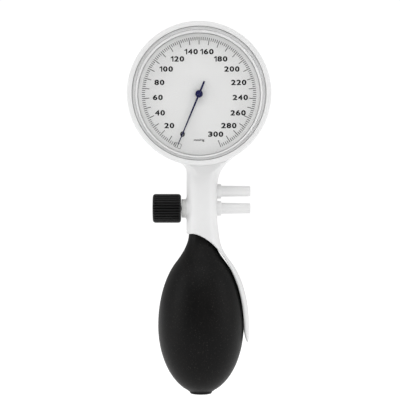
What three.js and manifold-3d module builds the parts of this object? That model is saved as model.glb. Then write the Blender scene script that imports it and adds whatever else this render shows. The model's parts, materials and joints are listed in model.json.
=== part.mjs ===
// A palm-held aneroid blood pressure gauge: a round gauge head on a stem with a release valve and two
// hose spigots, and a rubber bulb below it in a spoon-shaped grip.
// Millimetres. +X is to the reader's right, the dial faces -Y and +Z is up. The origin lies in the
// bulb's widest section, under the dial's centre.
import * as THREE from "three";
import { mergeVertices } from "three/addons/utils/BufferGeometryUtils.js";
import Module from "manifold-3d";

// ---- Clearances ----
const GAP = 0.3; // between faces that touch
const RUNNING = 0.08; // round a shaft in its bearing
const PASS = 0.3; // round a shank, post or hose in its hole

// ---- Gauge head: depths along Y from the dial side (-) to the back (+), round the dial's centre ----
const HEAD_Z = 123.2; // height of the dial's centre
const HEAD_FRONT = -17;
const BEZEL_RADIUS = 37.85;
const BEZEL_WINDOW = 35.3; // radius of the bezel's opening
const BEZEL_SKIRT = 1.55; // wall of the bezel's skirt
const BEZEL_DEPTH = 8;
const CASE_RADIUS = 37.4;
const CASE_WALL = 2.5;
const WELL_RADIUS = 33.9; // bore in front of the dial
const LEDGE_WIDTH = 2.9; // the dial rests on this inner flange
const LEDGE_DEPTH = 1.5;
const DIAL_RADIUS = 32.3;
const DIAL_FRONT = -9.6;
const DIAL_THICKNESS = 0.8;
const COVER_THICKNESS = 2;
const LENS_THICKNESS = 1.7;
const LENS_FLANGE = 1.2; // thickness of the lens's edge
const GASKET_THICKNESS = 0.8;
const SCALE_SWEEP = 315; // degrees from 0 to 300 mmHg
const SCALE_START = 22.5; // degrees the pointer's zero stands from straight down

// ---- Movement ----
const PINION_TEETH = 10;
const SECTOR_WHEEL_TEETH = 90; // of the whole wheel that the sector is cut from
const SECTOR_TEETH = 13;
const GEAR_MODULE = 0.4;
const GEAR_PRESSURE = THREE.MathUtils.degToRad(20);
const GEAR_BACKLASH = 0.06;
const SHEET = 1; // thickness of the plates and of the sector
const BRIDGE_FRONT = -7.4;
const GEAR_FRONT = -5;
const BASE_FRONT = -3.1;
const BASE_RADIUS = 28;
const ROCKER_Y = 0; // depth of the rocker's axis
const ROCKER_OFFSET = 3; // the rocker's axis passes this far below the pinion's
const ROCKER_RADIUS = 0.8;
const TAIL_LENGTH = 4.5; // from the sector's axis to where the rocker pushes it
const ARBOR_RADIUS = 0.8;
const SPRING_TURNS = 4.5;
const SPRING_INNER = 2.2;
const SPRING_OUTER = 6;
const CAPSULE_RADIUS = 19;
const CAPSULE_FRONT = 3.6;
const CAPSULE_DEPTH = 3;
const CAPSULE_WALL = 0.4;
const STRAP_WIDTH = 8;
const STRAP_THICKNESS = 0.8;
const HOSE_RADIUS = 1.3;
const HOSE_CLEARANCE = 0.4; // between the hose and the rear cover
const PILLAR_RADIUS = 1.6;
const EAR_RADIUS = 2.2; // of the base plate's ears under its screws and the bridge's pillars
const BRIDGE_HALF_WIDTH = 2.6;

// ---- Stem ----
const STEM_X = 1.55; // its centre line
const STEM_WIDTH = 16.5;
const STEM_FRONT = -8.5;
const STEM_BACK = 9.5;
const STEM_FRONT_EDGE = 7.5; // rounding of its long front edges
const STEM_BACK_EDGE = 4; // and of its back ones
const STEM_FOOT = 49.2; // height of its lower end on the valve side
const NECK_INSET = 1.2; // the neck's flares stand this far behind the stem's front and back
const FLARE_LEFT = 9.5; // where the neck's flares meet the case
const FLARE_RIGHT = 24;
const BLOCK_WIDTH = 10.4;
const BLOCK_DEPTH = 10.2;
const BLOCK_BOTTOM = 57.4;
const BLOCK_TOP = 77.4;
const CHANNEL = 1.2; // radius of the air channels
const LID_THICKNESS = 1.8; // the lid closes the stem behind the block
const LID_LIP = 1.2; // how far it reaches past the block's sides, bottom and top
const LID_BELOW = 2;
const LID_ABOVE = 4.2;
const LOWER_PORT_Z = 62.7; // the release valve and the cuff's spigot share this height
const UPPER_PORT_Z = 71.9; // the gauge's spigot
const SPIGOT_LENGTH = 15.6;
const SPIGOT_ROOT = 2.95;
const SPIGOT_TIP = 2.65;
const SPIGOT_COLLAR = 3.95;
const COLLAR_LENGTH = 1.8;
const VALVE_COLLAR = 5.05;
const VALVE_COLLAR_LENGTH = 2.4;
const VALVE_SHANK = 3.2; // radius of the release valve inside the stem
const SPIGOT_SHANK = 2.2;
const SPINDLE_RADIUS = 1.6;
const O_RING = 0.42; // radius of its section
const O_RING_ROOM = 0.18; // between it and the bottom of its groove
const KNOB_RADIUS = 7.75;
const KNOB_LENGTH = 15.1;
const KNOB_FLUTES = 32;
const KNOB_EDGE = 1.4;
const FLUTE_DEPTH = 0.45;

// ---- Bulb and spoon ----
const BULB_X = 1;
const BULB_RADIUS = 23;
const BULB_UPPER = 41.7; // half axes of the bulb's two half ellipses
const BULB_LOWER = 36.6;
const BULB_SHOULDER = 34; // height where the upper ellipse turns into the neck
const BULB_END = -35.2;
const BULB_WALL = 2.2;
const BULB_NECK = 6.5;
const BULB_TAIL = 5.3; // radius of the neck inside the stem
const NECK_BORE = 3.6;
const END_BORE = 4.3;
const SPOON_GAP = 0.5;
const SPOON_THICKNESS = 2.4;
const SPOON_TIP = -9.9;
const SPOON_HALF_WIDTH = 7.5;
const SPOON_LIFT = 1; // how far the tip stands off the bulb
const TIP_FROM = -3; // height below which the tip thins from inside
const TIP_TAPER = 2; // by this much
const SINK_FROM = 45; // height from which the shell sinks into the stem
const SINK_LENGTH = 15;
const SPOON_SINK = 6; // how far it has sunk at its top
const SPOON_EDGE = 0.5; // how far its edges reach in front of the bulb's outline

// The body's front edge crosses the bulb's neck along a quarter of a superellipse.
const EDGE_SHIFT = 5; // its centre, left of the bulb's axis
const EDGE_Z = 5; // and the centre's height
const EDGE_POWER = 1.75;

const TURN = 2 * Math.PI;
const wasm = await Module();
wasm.setup();

// ---- Shapes ----

const point = (x, y) => new THREE.Vector2(x, y);
const degrees = THREE.MathUtils.degToRad;

// A point at a radius and an angle, counted from +X towards +Z.
function polar(radius, angle, x = 0, z = 0) {
  return point(x + radius * Math.cos(angle), z + radius * Math.sin(angle));
}

// A closed geometry as a solid whose faces point outwards.
function solid(geometry) {
  const bare = geometry.clone();
  bare.deleteAttribute("normal");
  bare.deleteAttribute("uv");
  const merged = mergeVertices(bare, 1e-4);
  const corners = merged.index.array;
  const triangles = [];
  for (let i = 0; i < corners.length; i += 3) {
    const [a, b, c] = corners.slice(i, i + 3);
    if (a !== b && b !== c && c !== a) triangles.push(a, b, c);
  }
  const build = (order) =>
    new wasm.Manifold(
      new wasm.Mesh({
        numProp: 3,
        vertProperties: new Float32Array(merged.attributes.position.array),
        triVerts: Uint32Array.from(order),
      }),
    );
  const made = build(triangles);
  return made.volume() < 0 ? build(triangles.reverse()) : made;
}

// Turns a geometry made round Y so that its axis lies along the named one.
function aim(geometry, axis) {
  if (axis === "x") geometry.rotateZ(-Math.PI / 2);
  if (axis === "z") geometry.rotateX(Math.PI / 2);
  return geometry;
}

// A solid of revolution from [radius, place along the axis] pairs. A profile off the axis is a ring.
function turned(axis, segments, profile) {
  const points = profile.map(([r, t]) => point(r, t));
  if (points[0].x > 0 || points.at(-1).x > 0) points.push(points[0].clone());
  return solid(aim(new THREE.LatheGeometry(points, segments), axis));
}

// A round bar between two places along an axis.
function bar(axis, radius, from, to, segments = 12) {
  return turned(axis, segments, [
    [0, from],
    [radius, from],
    [radius, to],
    [0, to],
  ]);
}

function box(x0, x1, y0, y1, z0, z1) {
  const made = new THREE.BoxGeometry(x1 - x0, y1 - y0, z1 - z0);
  return solid(made.translate((x0 + x1) / 2, (y0 + y1) / 2, (z0 + z1) / 2));
}

// A plate of an XZ outline between two depths along Y, with an optional rounded edge.
function plate(shape, front, back, edge = 0, edgeSegments = 2) {
  const made = new THREE.ExtrudeGeometry(shape, {
    depth: back - front - 2 * edge,
    bevelEnabled: edge > 0,
    bevelThickness: edge,
    bevelSize: edge,
    bevelOffset: -edge,
    bevelSegments: edgeSegments,
    curveSegments: 12,
  });
  return solid(made.rotateX(Math.PI / 2).translate(0, back - edge, 0));
}

// A rounded link outline between two centres.
function link(a, b, radius) {
  const along = Math.atan2(b.y - a.y, b.x - a.x);
  const shape = new THREE.Shape();
  const quarter = Math.PI / 2;
  shape.absarc(b.x, b.y, radius, along - quarter, along + quarter, false);
  shape.absarc(a.x, a.y, radius, along + quarter, along + 3 * quarter, false);
  return shape;
}

const joined = (...solids) => solids.reduce((sum, each) => sum.add(each));
const cut = (from, ...tools) => tools.reduce((rest, tool) => rest.subtract(tool), from);

// ---- Materials ----

const LOOKS = {
  white: [0xf2f2ef, 0.4, 0],
  lightGrey: [0xcfcfcc, 0.45, 0],
  dial: [0xe3e3e0, 0.6, 0],
  clear: [0xeef4f6, 0.05, 0],
  navy: [0x1b1f55, 0.4, 0],
  blackRubber: [0x1b1a1b, 0.85, 0],
  blackPlastic: [0x161617, 0.5, 0],
  brass: [0xb79a58, 0.35, 1],
  steel: [0xb5b7ba, 0.35, 1],
  bronze: [0xb08d57, 0.4, 1],
  seal: [0x3a3a3a, 0.9, 0],
  silicone: [0xd9dcdc, 0.6, 0],
};

function add(parent, name, made, look) {
  const [color, roughness, metalness] = LOOKS[look];
  const { vertProperties, triVerts } = made.getMesh();
  const geometry = new THREE.BufferGeometry();
  const positions = Float32Array.from(vertProperties);
  geometry.setAttribute("position", new THREE.BufferAttribute(positions, 3));
  geometry.setIndex(Array.from(triVerts));
  geometry.computeVertexNormals();
  const material = new THREE.MeshStandardMaterial({
    color,
    roughness,
    metalness,
    flatShading: true,
    transparent: look === "clear",
    opacity: look === "clear" ? 0.35 : 1,
  });
  const mesh = new THREE.Mesh(geometry, material);
  mesh.name = name;
  parent.add(mesh);
}

// ---- Sizes that follow from the ones above ----

const SEGMENTS = 36; // of the head's rings
const dialBack = DIAL_FRONT + DIAL_THICKNESS;
const ledgeFront = dialBack + GAP;
const ledgeBack = ledgeFront + LEDGE_DEPTH;
const cavityRadius = CASE_RADIUS - CASE_WALL;
const spigotRadius = BEZEL_RADIUS - BEZEL_SKIRT - GAP; // of the case's front rim, inside the bezel
const bezelBack = HEAD_FRONT + BEZEL_DEPTH;
const lipBack = HEAD_FRONT + 1.4; // of the bezel's lip over the lens
const lensFront = HEAD_FRONT + 0.4;
const flangeFront = lipBack + GAP;
const flangeBack = flangeFront + LENS_FLANGE;
const gasketFront = flangeBack + GAP;
const rimFront = gasketFront + GASKET_THICKNESS + GAP;
const coverRadius = CASE_RADIUS - 1.6;
const caseFoot = HEAD_Z - CASE_RADIUS;
const stemLeft = STEM_X - STEM_WIDTH / 2;
const stemRight = STEM_X + STEM_WIDTH / 2;
const pinionPitch = (GEAR_MODULE * PINION_TEETH) / 2;
const sectorPitch = (GEAR_MODULE * SECTOR_WHEEL_TEETH) / 2;
const sectorX = -Math.sqrt((pinionPitch + sectorPitch) ** 2 - ROCKER_OFFSET ** 2);
const sectorZ = -ROCKER_OFFSET;
const meshAngle = Math.atan2(ROCKER_OFFSET, -sectorX); // of the line from the sector's axis to the pinion's
const sectorSweep = degrees((SCALE_SWEEP * PINION_TEETH) / SECTOR_WHEEL_TEETH);
const baseBack = BASE_FRONT + SHEET;
const bridgeBack = BRIDGE_FRONT + SHEET;
const gearBack = GEAR_FRONT + SHEET;
const gearMiddle = (GEAR_FRONT + gearBack) / 2;
const blockLeft = STEM_X - BLOCK_WIDTH / 2;
const blockRight = STEM_X + BLOCK_WIDTH / 2;
const capsuleBack = CAPSULE_FRONT + CAPSULE_DEPTH;
const strapFront = capsuleBack + GAP;
const strapBack = strapFront + STRAP_THICKNESS;
const inletY = strapBack + HOSE_RADIUS + GAP;
const coverFront = inletY + HOSE_RADIUS + HOSE_CLEARANCE;
const headBack = coverFront + COVER_THICKNESS;
const bracketReach = CAPSULE_RADIUS + 3.5; // half the length of the capsule's bracket
const hoseX = BULB_X;
const hoseY = 1;
const hoseFoot = BLOCK_TOP + 2 + GAP;

// ---- The bulb's outline ----

// The bulb's outer radius at a height: two half ellipses, and a curve from the upper one to the neck.
function bulbRadius(z) {
  if (z < 0) return BULB_RADIUS * Math.sqrt(1 - (z / BULB_LOWER) ** 2);
  if (z < BULB_SHOULDER) return BULB_RADIUS * Math.sqrt(1 - (z / BULB_UPPER) ** 2);
  if (z >= STEM_FOOT) return BULB_NECK;
  const start = BULB_RADIUS * Math.sqrt(1 - (BULB_SHOULDER / BULB_UPPER) ** 2);
  const slope = (BULB_RADIUS ** 2 * BULB_SHOULDER) / (BULB_UPPER ** 2 * start);
  const corner = Math.min(BULB_SHOULDER + (start - BULB_NECK) / slope, STEM_FOOT);
  const a = BULB_SHOULDER - 2 * corner + STEM_FOOT;
  const b = 2 * (corner - BULB_SHOULDER);
  const c = BULB_SHOULDER - z;
  const t = Math.abs(a) < 1e-6 ? -c / b : (-b + Math.sqrt(b * b - 4 * a * c)) / (2 * a);
  return BULB_NECK + (start - BULB_NECK) * (1 - t) ** 2;
}

// [radius, height] pairs along the bulb's outline, moved outwards, between two heights.
function bulbOutline(offset, from, to, steps) {
  return Array.from({ length: steps + 1 }, (_, i) => {
    const z = from + ((to - from) * i) / steps;
    return [bulbRadius(z) + offset(z), z];
  });
}

// ---- The white body ----

// The stem's straight part: a prism along Z with rounded long edges.
function stemPrism() {
  const shape = new THREE.Shape();
  const corners = [
    [1, -1, STEM_FRONT_EDGE, -90],
    [1, 1, STEM_BACK_EDGE, 0],
    [-1, 1, STEM_BACK_EDGE, 90],
    [-1, -1, STEM_FRONT_EDGE, 180],
  ];
  corners.forEach(([side, face, radius, from]) => {
    const x = STEM_X + side * (STEM_WIDTH / 2 - radius);
    const y = face > 0 ? STEM_BACK - radius : STEM_FRONT + radius;
    shape.absarc(x, y, radius, degrees(from), degrees(from + 90), false);
  });
  const foot = STEM_FOOT - 8;
  const options = { depth: caseFoot + 12 - foot, bevelEnabled: false, curveSegments: 7 };
  return solid(new THREE.ExtrudeGeometry(shape, options).translate(0, 0, foot));
}

// The neck's flares onto the case, a short one on the valve's side and a long one on the spigots'.
function neck() {
  const shape = new THREE.Shape();
  const shoulder = HEAD_Z - Math.sqrt(CASE_RADIUS ** 2 - FLARE_RIGHT ** 2);
  shape.moveTo(stemLeft, caseFoot - 8);
  shape.lineTo(stemLeft, caseFoot - 4.5);
  shape.quadraticCurveTo(stemLeft - 0.3, caseFoot - 0.8, -FLARE_LEFT, caseFoot + 2.8);
  shape.lineTo(-FLARE_LEFT, caseFoot + 12);
  shape.lineTo(FLARE_RIGHT - 8, caseFoot + 12);
  shape.lineTo(FLARE_RIGHT, shoulder);
  shape.bezierCurveTo(stemRight + 6.5, caseFoot + 2.6, stemRight, caseFoot - 1, stemRight, caseFoot - 8);
  return plate(shape, STEM_FRONT + NECK_INSET, STEM_BACK - NECK_INSET, 1);
}

// The grip that runs down beside the bulb: a shell of even thickness, trimmed to a tongue.
function spoon() {
  const lift = (z) => (z < 0 ? SPOON_LIFT * (z / SPOON_TIP) ** 2 : 0);
  const sink = (z) => SPOON_SINK * (Math.max(z - SINK_FROM, 0) / SINK_LENGTH) ** 2;
  const outer = (z) => SPOON_GAP + SPOON_THICKNESS + lift(z) - sink(z);
  const top = SINK_FROM + SINK_LENGTH;
  const shell = turned("z", 40, [
    [0, SPOON_TIP],
    ...bulbOutline(outer, SPOON_TIP, top, 20),
    [0, top],
  ]);
  const tongue = new THREE.Shape();
  const taper = STEM_FOOT / 2; // the tongue narrows below this height
  const shoulder = SPOON_HALF_WIDTH * 0.7;
  tongue.moveTo(SPOON_HALF_WIDTH, top);
  tongue.lineTo(-SPOON_HALF_WIDTH, top);
  tongue.lineTo(-SPOON_HALF_WIDTH, taper);
  tongue.bezierCurveTo(-SPOON_HALF_WIDTH, 6, -shoulder, SPOON_TIP, 0, SPOON_TIP);
  tongue.bezierCurveTo(shoulder, SPOON_TIP, SPOON_HALF_WIDTH, 6, SPOON_HALF_WIDTH, taper);
  const reach = BULB_RADIUS + 10;
  const trim = new THREE.ExtrudeGeometry(tongue, { depth: reach, bevelEnabled: false });
  trim.rotateY(Math.PI / 2);
  trim.rotateX(Math.PI / 2);
  return shell.intersect(solid(trim)).translate(BULB_X, 0, 0);
}

// [x, z] points of the body's front edge, from the bulb's side up to the foot of the stem.
function frontEdge(steps) {
  const centre = BULB_X - EDGE_SHIFT;
  const reach = BULB_X + bulbRadius(EDGE_Z) - SPOON_EDGE - centre;
  return Array.from({ length: steps + 1 }, (_, i) => {
    const angle = (Math.PI / 2) * (i / steps);
    const x = centre + reach * Math.cos(angle) ** (2 / EDGE_POWER);
    const z = EDGE_Z + (STEM_FOOT - EDGE_Z) * Math.sin(angle) ** (2 / EDGE_POWER);
    return [x, z];
  });
}

// Everything that the bulb and its outline, seen from the front, take from the body.
function bulbRoom() {
  const depth = (z) => Math.min(Math.max((TIP_FROM - z) / (TIP_FROM - SPOON_TIP), 0), 1);
  const taper = (z) => TIP_TAPER * depth(z) ** 1.5;
  const clearance = turned("z", 36, [
    [0, BULB_END - 10],
    ...bulbOutline((z) => SPOON_GAP + taper(z), -30, TIP_FROM, 12),
    ...bulbOutline(() => SPOON_GAP, TIP_FROM + 3, STEM_FOOT, 14),
    [BULB_TAIL + GAP, STEM_FOOT + 0.01],
    [BULB_TAIL + GAP, BLOCK_BOTTOM - 1.9],
    [0, BLOCK_BOTTOM - 1.9],
  ]).translate(BULB_X, 0, 0);
  const shape = new THREE.Shape();
  shape.moveTo(-60, -20);
  const side = bulbOutline((z) => BULB_X - SPOON_EDGE + taper(z), -20, EDGE_Z - 1, 12);
  side.forEach(([x, z]) => shape.lineTo(x, z));
  frontEdge(12).forEach(([x, z]) => shape.lineTo(x, z));
  shape.lineTo(-60, STEM_FOOT);
  return joined(clearance, plate(shape, -40, 40));
}

const screwAngles = (first) => [0, 1, 2].map((i) => degrees(first + 120 * i));
const coverScrews = screwAngles(90);
const baseScrews = screwAngles(30);
const COVER_SCREW_CIRCLE = cavityRadius - 3.4;
const BASE_SCREW_CIRCLE = cavityRadius - 2.6;
const BOSS_RADIUS = 2.8;
const COVER_SCREW_HOLE = 1.15;
const BASE_SCREW_HOLE = 0.8;

function body() {
  const outside = turned("y", SEGMENTS, [
    [0, rimFront],
    [spigotRadius, rimFront],
    [spigotRadius, bezelBack + GAP],
    [CASE_RADIUS, bezelBack + GAP],
    [CASE_RADIUS, headBack - 1.5],
    [CASE_RADIUS - 0.5, headBack],
    [0, headBack],
  ]).translate(0, 0, HEAD_Z);
  const inside = turned("y", SEGMENTS, [
    [0, rimFront - 1],
    [WELL_RADIUS, rimFront - 1],
    [WELL_RADIUS, ledgeFront],
    [WELL_RADIUS - LEDGE_WIDTH, ledgeFront],
    [WELL_RADIUS - LEDGE_WIDTH, ledgeBack],
    [cavityRadius, ledgeBack],
    [cavityRadius, coverFront - GAP],
    [coverRadius + GAP, coverFront - GAP],
    [coverRadius + GAP, headBack + 1],
    [0, headBack + 1],
  ]).translate(0, 0, HEAD_Z);
  const room = BLOCK_WIDTH / 2 + GAP;
  const blockRoom = box(
    STEM_X - room,
    STEM_X + room,
    -BLOCK_DEPTH / 2 - GAP,
    STEM_BACK + 1,
    BLOCK_BOTTOM - 0.8,
    BLOCK_TOP + 3,
  );
  const lidRoom = box(
    STEM_X - room - LID_LIP,
    STEM_X + room + LID_LIP,
    STEM_BACK - LID_THICKNESS - GAP,
    STEM_BACK + 1,
    BLOCK_BOTTOM - LID_BELOW,
    BLOCK_TOP + LID_ABOVE,
  );
  const bosses = coverScrews.map((angle) => {
    const at = polar(COVER_SCREW_CIRCLE, angle, 0, HEAD_Z);
    const boss = bar("y", BOSS_RADIUS, ledgeBack - 0.5, coverFront - GAP);
    const hole = bar("y", COVER_SCREW_HOLE + PASS / 2, 0, headBack);
    return cut(boss, hole).translate(at.x, 0, at.y);
  });
  const posts = baseScrews.map((angle) => {
    const at = polar(BASE_SCREW_CIRCLE, angle, 0, HEAD_Z);
    const post = bar("y", 2, ledgeBack - 0.5, BASE_FRONT - GAP);
    const hole = bar("y", BASE_SCREW_HOLE + PASS / 2, BASE_FRONT - 3, headBack);
    return cut(post, hole).translate(at.x, 0, at.y);
  });
  const hoseWay = bar("z", HOSE_RADIUS + 2, BLOCK_TOP, HEAD_Z - cavityRadius + 4);
  const ports = [UPPER_PORT_Z, LOWER_PORT_Z].map((z) =>
    bar("x", SPIGOT_SHANK + PASS, STEM_X, stemRight + 5).translate(0, 0, z),
  );
  const valvePort = bar("x", VALVE_SHANK + PASS, stemLeft - 5, STEM_X).translate(0, 0, LOWER_PORT_Z);
  // Flat seats on the rounded stem for the spigots' and the valve's collars.
  const seats = [
    bar("x", SPIGOT_COLLAR, STEM_X, stemRight, 24).translate(0, 0, UPPER_PORT_Z),
    bar("x", SPIGOT_COLLAR, STEM_X, stemRight, 24).translate(0, 0, LOWER_PORT_Z),
    bar("x", VALVE_COLLAR, stemLeft, STEM_X, 24).translate(0, 0, LOWER_PORT_Z),
  ];
  const stubWay = bar("z", STUB_RADIUS + PASS, STEM_FOOT, BLOCK_BOTTOM).translate(BULB_X, 0, 0);
  const outer = joined(outside, stemPrism(), neck(), spoon(), ...seats);
  const hull = cut(outer, inside, bulbRoom(), blockRoom, lidRoom);
  return cut(
    joined(hull, ...bosses, ...posts),
    bridgeOutline(GAP, dialBack, bridgeBack + GAP).translate(0, 0, HEAD_Z),
    hoseWay.translate(hoseX, hoseY, 0),
    stubWay,
    valvePort,
    ...ports,
  );
}

// ---- Covers and screws ----

// A slotted screw along Y. Its head's outer face is at 0 and its shank runs towards -Y.
function screw(head, headDepth, shank, length) {
  const made = turned("y", 10, [
    [0, 0],
    [head, -headDepth * 0.4],
    [head, -headDepth],
    [shank, -headDepth],
    [shank, -length + 0.6],
    [0, -length],
  ]);
  return cut(made, box(-head - 1, head + 1, -headDepth * 0.5, 1, -0.25, 0.25));
}

const COVER_HEAD = 2.1;
const COVER_HEAD_DEPTH = 1.2;

function rearCover() {
  const disc = turned("y", SEGMENTS, [
    [0, coverFront],
    [coverRadius, coverFront],
    [coverRadius, headBack - 0.6],
    [coverRadius - 0.8, headBack],
    [0, headBack],
  ]);
  const holes = coverScrews.flatMap((angle) => {
    const at = polar(COVER_SCREW_CIRCLE, angle);
    const shank = bar("y", COVER_SCREW_HOLE + PASS, coverFront - 1, headBack + 1);
    const sink = bar("y", COVER_HEAD + PASS, headBack - COVER_HEAD_DEPTH - GAP, headBack + 1);
    return [shank.translate(at.x, 0, at.y), sink.translate(at.x, 0, at.y)];
  });
  return cut(disc, ...holes);
}

function stemCover() {
  const half = BLOCK_WIDTH / 2 + LID_LIP;
  const bottom = BLOCK_BOTTOM - LID_BELOW + GAP;
  const top = BLOCK_TOP + LID_ABOVE - GAP;
  const inner = STEM_BACK - LID_THICKNESS;
  const lid = box(STEM_X - half, STEM_X + half, inner, STEM_BACK, bottom, top);
  const padHalf = BLOCK_WIDTH / 2 - 2 * GAP;
  const padFront = BLOCK_DEPTH / 2 + GAP;
  const pad = box(STEM_X - padHalf, STEM_X + padHalf, padFront, inner + 0.3, BLOCK_BOTTOM + 1, BLOCK_TOP - 1);
  return joined(lid, pad);
}

// ---- Front of the gauge ----

function bezelRing() {
  const skirt = BEZEL_RADIUS - BEZEL_SKIRT;
  return turned("y", SEGMENTS, [
    [skirt, bezelBack],
    [BEZEL_RADIUS, bezelBack],
    [BEZEL_RADIUS, HEAD_FRONT + 1.6],
    [BEZEL_RADIUS - 0.95, HEAD_FRONT],
    [BEZEL_WINDOW + 0.6, HEAD_FRONT],
    [BEZEL_WINDOW, HEAD_FRONT + 0.6],
    [BEZEL_WINDOW, lipBack],
    [skirt, lipBack],
  ]);
}

function lens() {
  const raised = BEZEL_WINDOW - GAP;
  const edge = BEZEL_RADIUS - BEZEL_SKIRT - GAP;
  const back = lensFront + LENS_THICKNESS;
  return turned("y", SEGMENTS, [
    [0, lensFront],
    [raised - 0.6, lensFront],
    [raised, lensFront + 0.6],
    [raised, flangeFront],
    [edge, flangeFront],
    [edge, flangeBack],
    [WELL_RADIUS, flangeBack],
    [WELL_RADIUS, back],
    [0, back],
  ]);
}

function ring(inner, outer, front, back, segments = SEGMENTS) {
  return turned("y", segments, [
    [inner, front],
    [outer, front],
    [outer, back],
    [inner, back],
  ]);
}

function dialSurround() {
  const outer = WELL_RADIUS - GAP;
  const back = DIAL_FRONT - GAP;
  return turned("y", SEGMENTS, [
    [outer - 0.5, rimFront + 0.3],
    [outer, rimFront + 0.3],
    [outer, back],
    [DIAL_RADIUS + 0.2, back],
  ]);
}

// ---- Movement: built round the pinion's axis ----

// Half the angle that an involute tooth takes at a radius.
function toothHalfAngle(teeth, radius) {
  const pitch = (GEAR_MODULE * teeth) / 2;
  const base = pitch * Math.cos(GEAR_PRESSURE);
  const involute = (angle) => Math.tan(angle) - angle;
  const here = Math.acos(Math.min(1, base / radius));
  const atPitch = Math.PI / (2 * teeth) - GEAR_BACKLASH / (2 * pitch);
  return atPitch + involute(GEAR_PRESSURE) - involute(here);
}

// The outline points of one tooth, from its lower root to its upper root.
function toothPoints(teeth, centre, root, tip) {
  const base = ((GEAR_MODULE * teeth) / 2) * Math.cos(GEAR_PRESSURE);
  const foot = Math.max(base, root);
  const radii = [0, 0.35, 0.7, 1].map((t) => foot + (tip - foot) * t);
  const flank = radii.map((r) => [r, toothHalfAngle(teeth, r)]);
  if (root < base) flank.unshift([root, toothHalfAngle(teeth, base)]);
  const rising = flank.map(([r, half]) => polar(r, centre - half));
  const falling = flank.toReversed().map(([r, half]) => polar(r, centre + half));
  return [...rising, ...falling];
}

function pinionArbor() {
  const root = pinionPitch - 0.8 * GEAR_MODULE;
  const tip = pinionPitch + GEAR_MODULE;
  const points = Array.from({ length: PINION_TEETH }, (_, i) =>
    toothPoints(PINION_TEETH, meshAngle + Math.PI + (TURN * i) / PINION_TEETH, root, tip),
  ).flat();
  const pinion = plate(new THREE.Shape(points), GEAR_FRONT - 0.2, gearBack + 0.2);
  const shaft = turned("y", 16, [
    [0, DIAL_FRONT - 2.2],
    [ARBOR_RADIUS * 0.8, DIAL_FRONT - 2.2],
    [ARBOR_RADIUS, bridgeBack + 0.2],
    [ARBOR_RADIUS, baseBack + 0.3],
    [0, baseBack + 0.3],
  ]);
  const collet = bar("y", 1.5, GEAR_FRONT - 1.1, GEAR_FRONT - 0.1);
  return joined(pinion, shaft, collet);
}

function sectorGear() {
  const root = sectorPitch - 1.3 * GEAR_MODULE;
  const tip = sectorPitch + 0.5 * GEAR_MODULE;
  const pitchAngle = TURN / SECTOR_WHEEL_TEETH;
  const spare = 1.5; // teeth past the one in mesh at rest
  const first = meshAngle - (SECTOR_TEETH - 1 - spare) * pitchAngle;
  const teeth = Array.from({ length: SECTOR_TEETH }, (_, i) =>
    toothPoints(SECTOR_WHEEL_TEETH, first + i * pitchAngle, root, tip),
  ).flat();
  const low = first - pitchAngle;
  const high = first + SECTOR_TEETH * pitchAngle;
  const inner = root - 1.6;
  const back = Array.from({ length: 9 }, (_, i) => polar(inner, high + ((low - high) * i) / 8));
  const outline = [...teeth, polar(root, high), ...back, polar(root, low)];
  const rim = plate(new THREE.Shape(outline), GEAR_FRONT, gearBack);
  const spokes = [low + pitchAngle, high - pitchAngle].map((angle) =>
    plate(link(point(0, 0), polar(inner + 0.8, angle), 0.8), GEAR_FRONT, gearBack),
  );
  const tailAngle = Math.PI - sectorSweep / 2;
  const tail = plate(link(point(0, 0), polar(TAIL_LENGTH, tailAngle), 0.5), GEAR_FRONT, gearBack);
  const hub = bar("y", 2.4, GEAR_FRONT, gearBack, 20);
  const bore = bar("y", 1 + RUNNING, GEAR_FRONT - 1, gearBack + 1, 20);
  return cut(joined(rim, ...spokes, tail, hub), bore);
}

// The rocker lies along X behind the base plate. One finger rests on the capsule's post and the other
// reaches forward through the base plate onto the sector's tail. It is drawn halfway and turned to rest.
function rockerShaft() {
  const half = rockerSweep / 2;
  const shaft = bar("x", ROCKER_RADIUS, sectorX - TAIL_LENGTH - 1, 5.4);
  const contact = gearMiddle - ROCKER_Y;
  const blade = box(
    sectorX - TAIL_LENGTH - 0.6,
    sectorX - TAIL_LENGTH + 0.6,
    contact - 0.5,
    0.5,
    0.5 + FINGER_GAP,
    0.5 + FINGER_GAP + 0.8,
  );
  const hubs = [sectorX - TAIL_LENGTH, 0].map((x) => bar("x", 1.7, x - 0.7, x + 0.7));
  const pad = box(-0.7, 0.7, -0.4, 0.4, 0, ROCKER_OFFSET + 0.6);
  const made = joined(shaft, blade, pad, ...hubs);
  return made.rotate([-THREE.MathUtils.radToDeg(half), 0, 0]);
}

const FINGER_GAP = 0.45;
const rockerReach = Math.abs(gearMiddle - ROCKER_Y);
const rockerSweep = 2 * Math.asin((TAIL_LENGTH * Math.sin(sectorSweep / 2)) / rockerReach);

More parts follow.
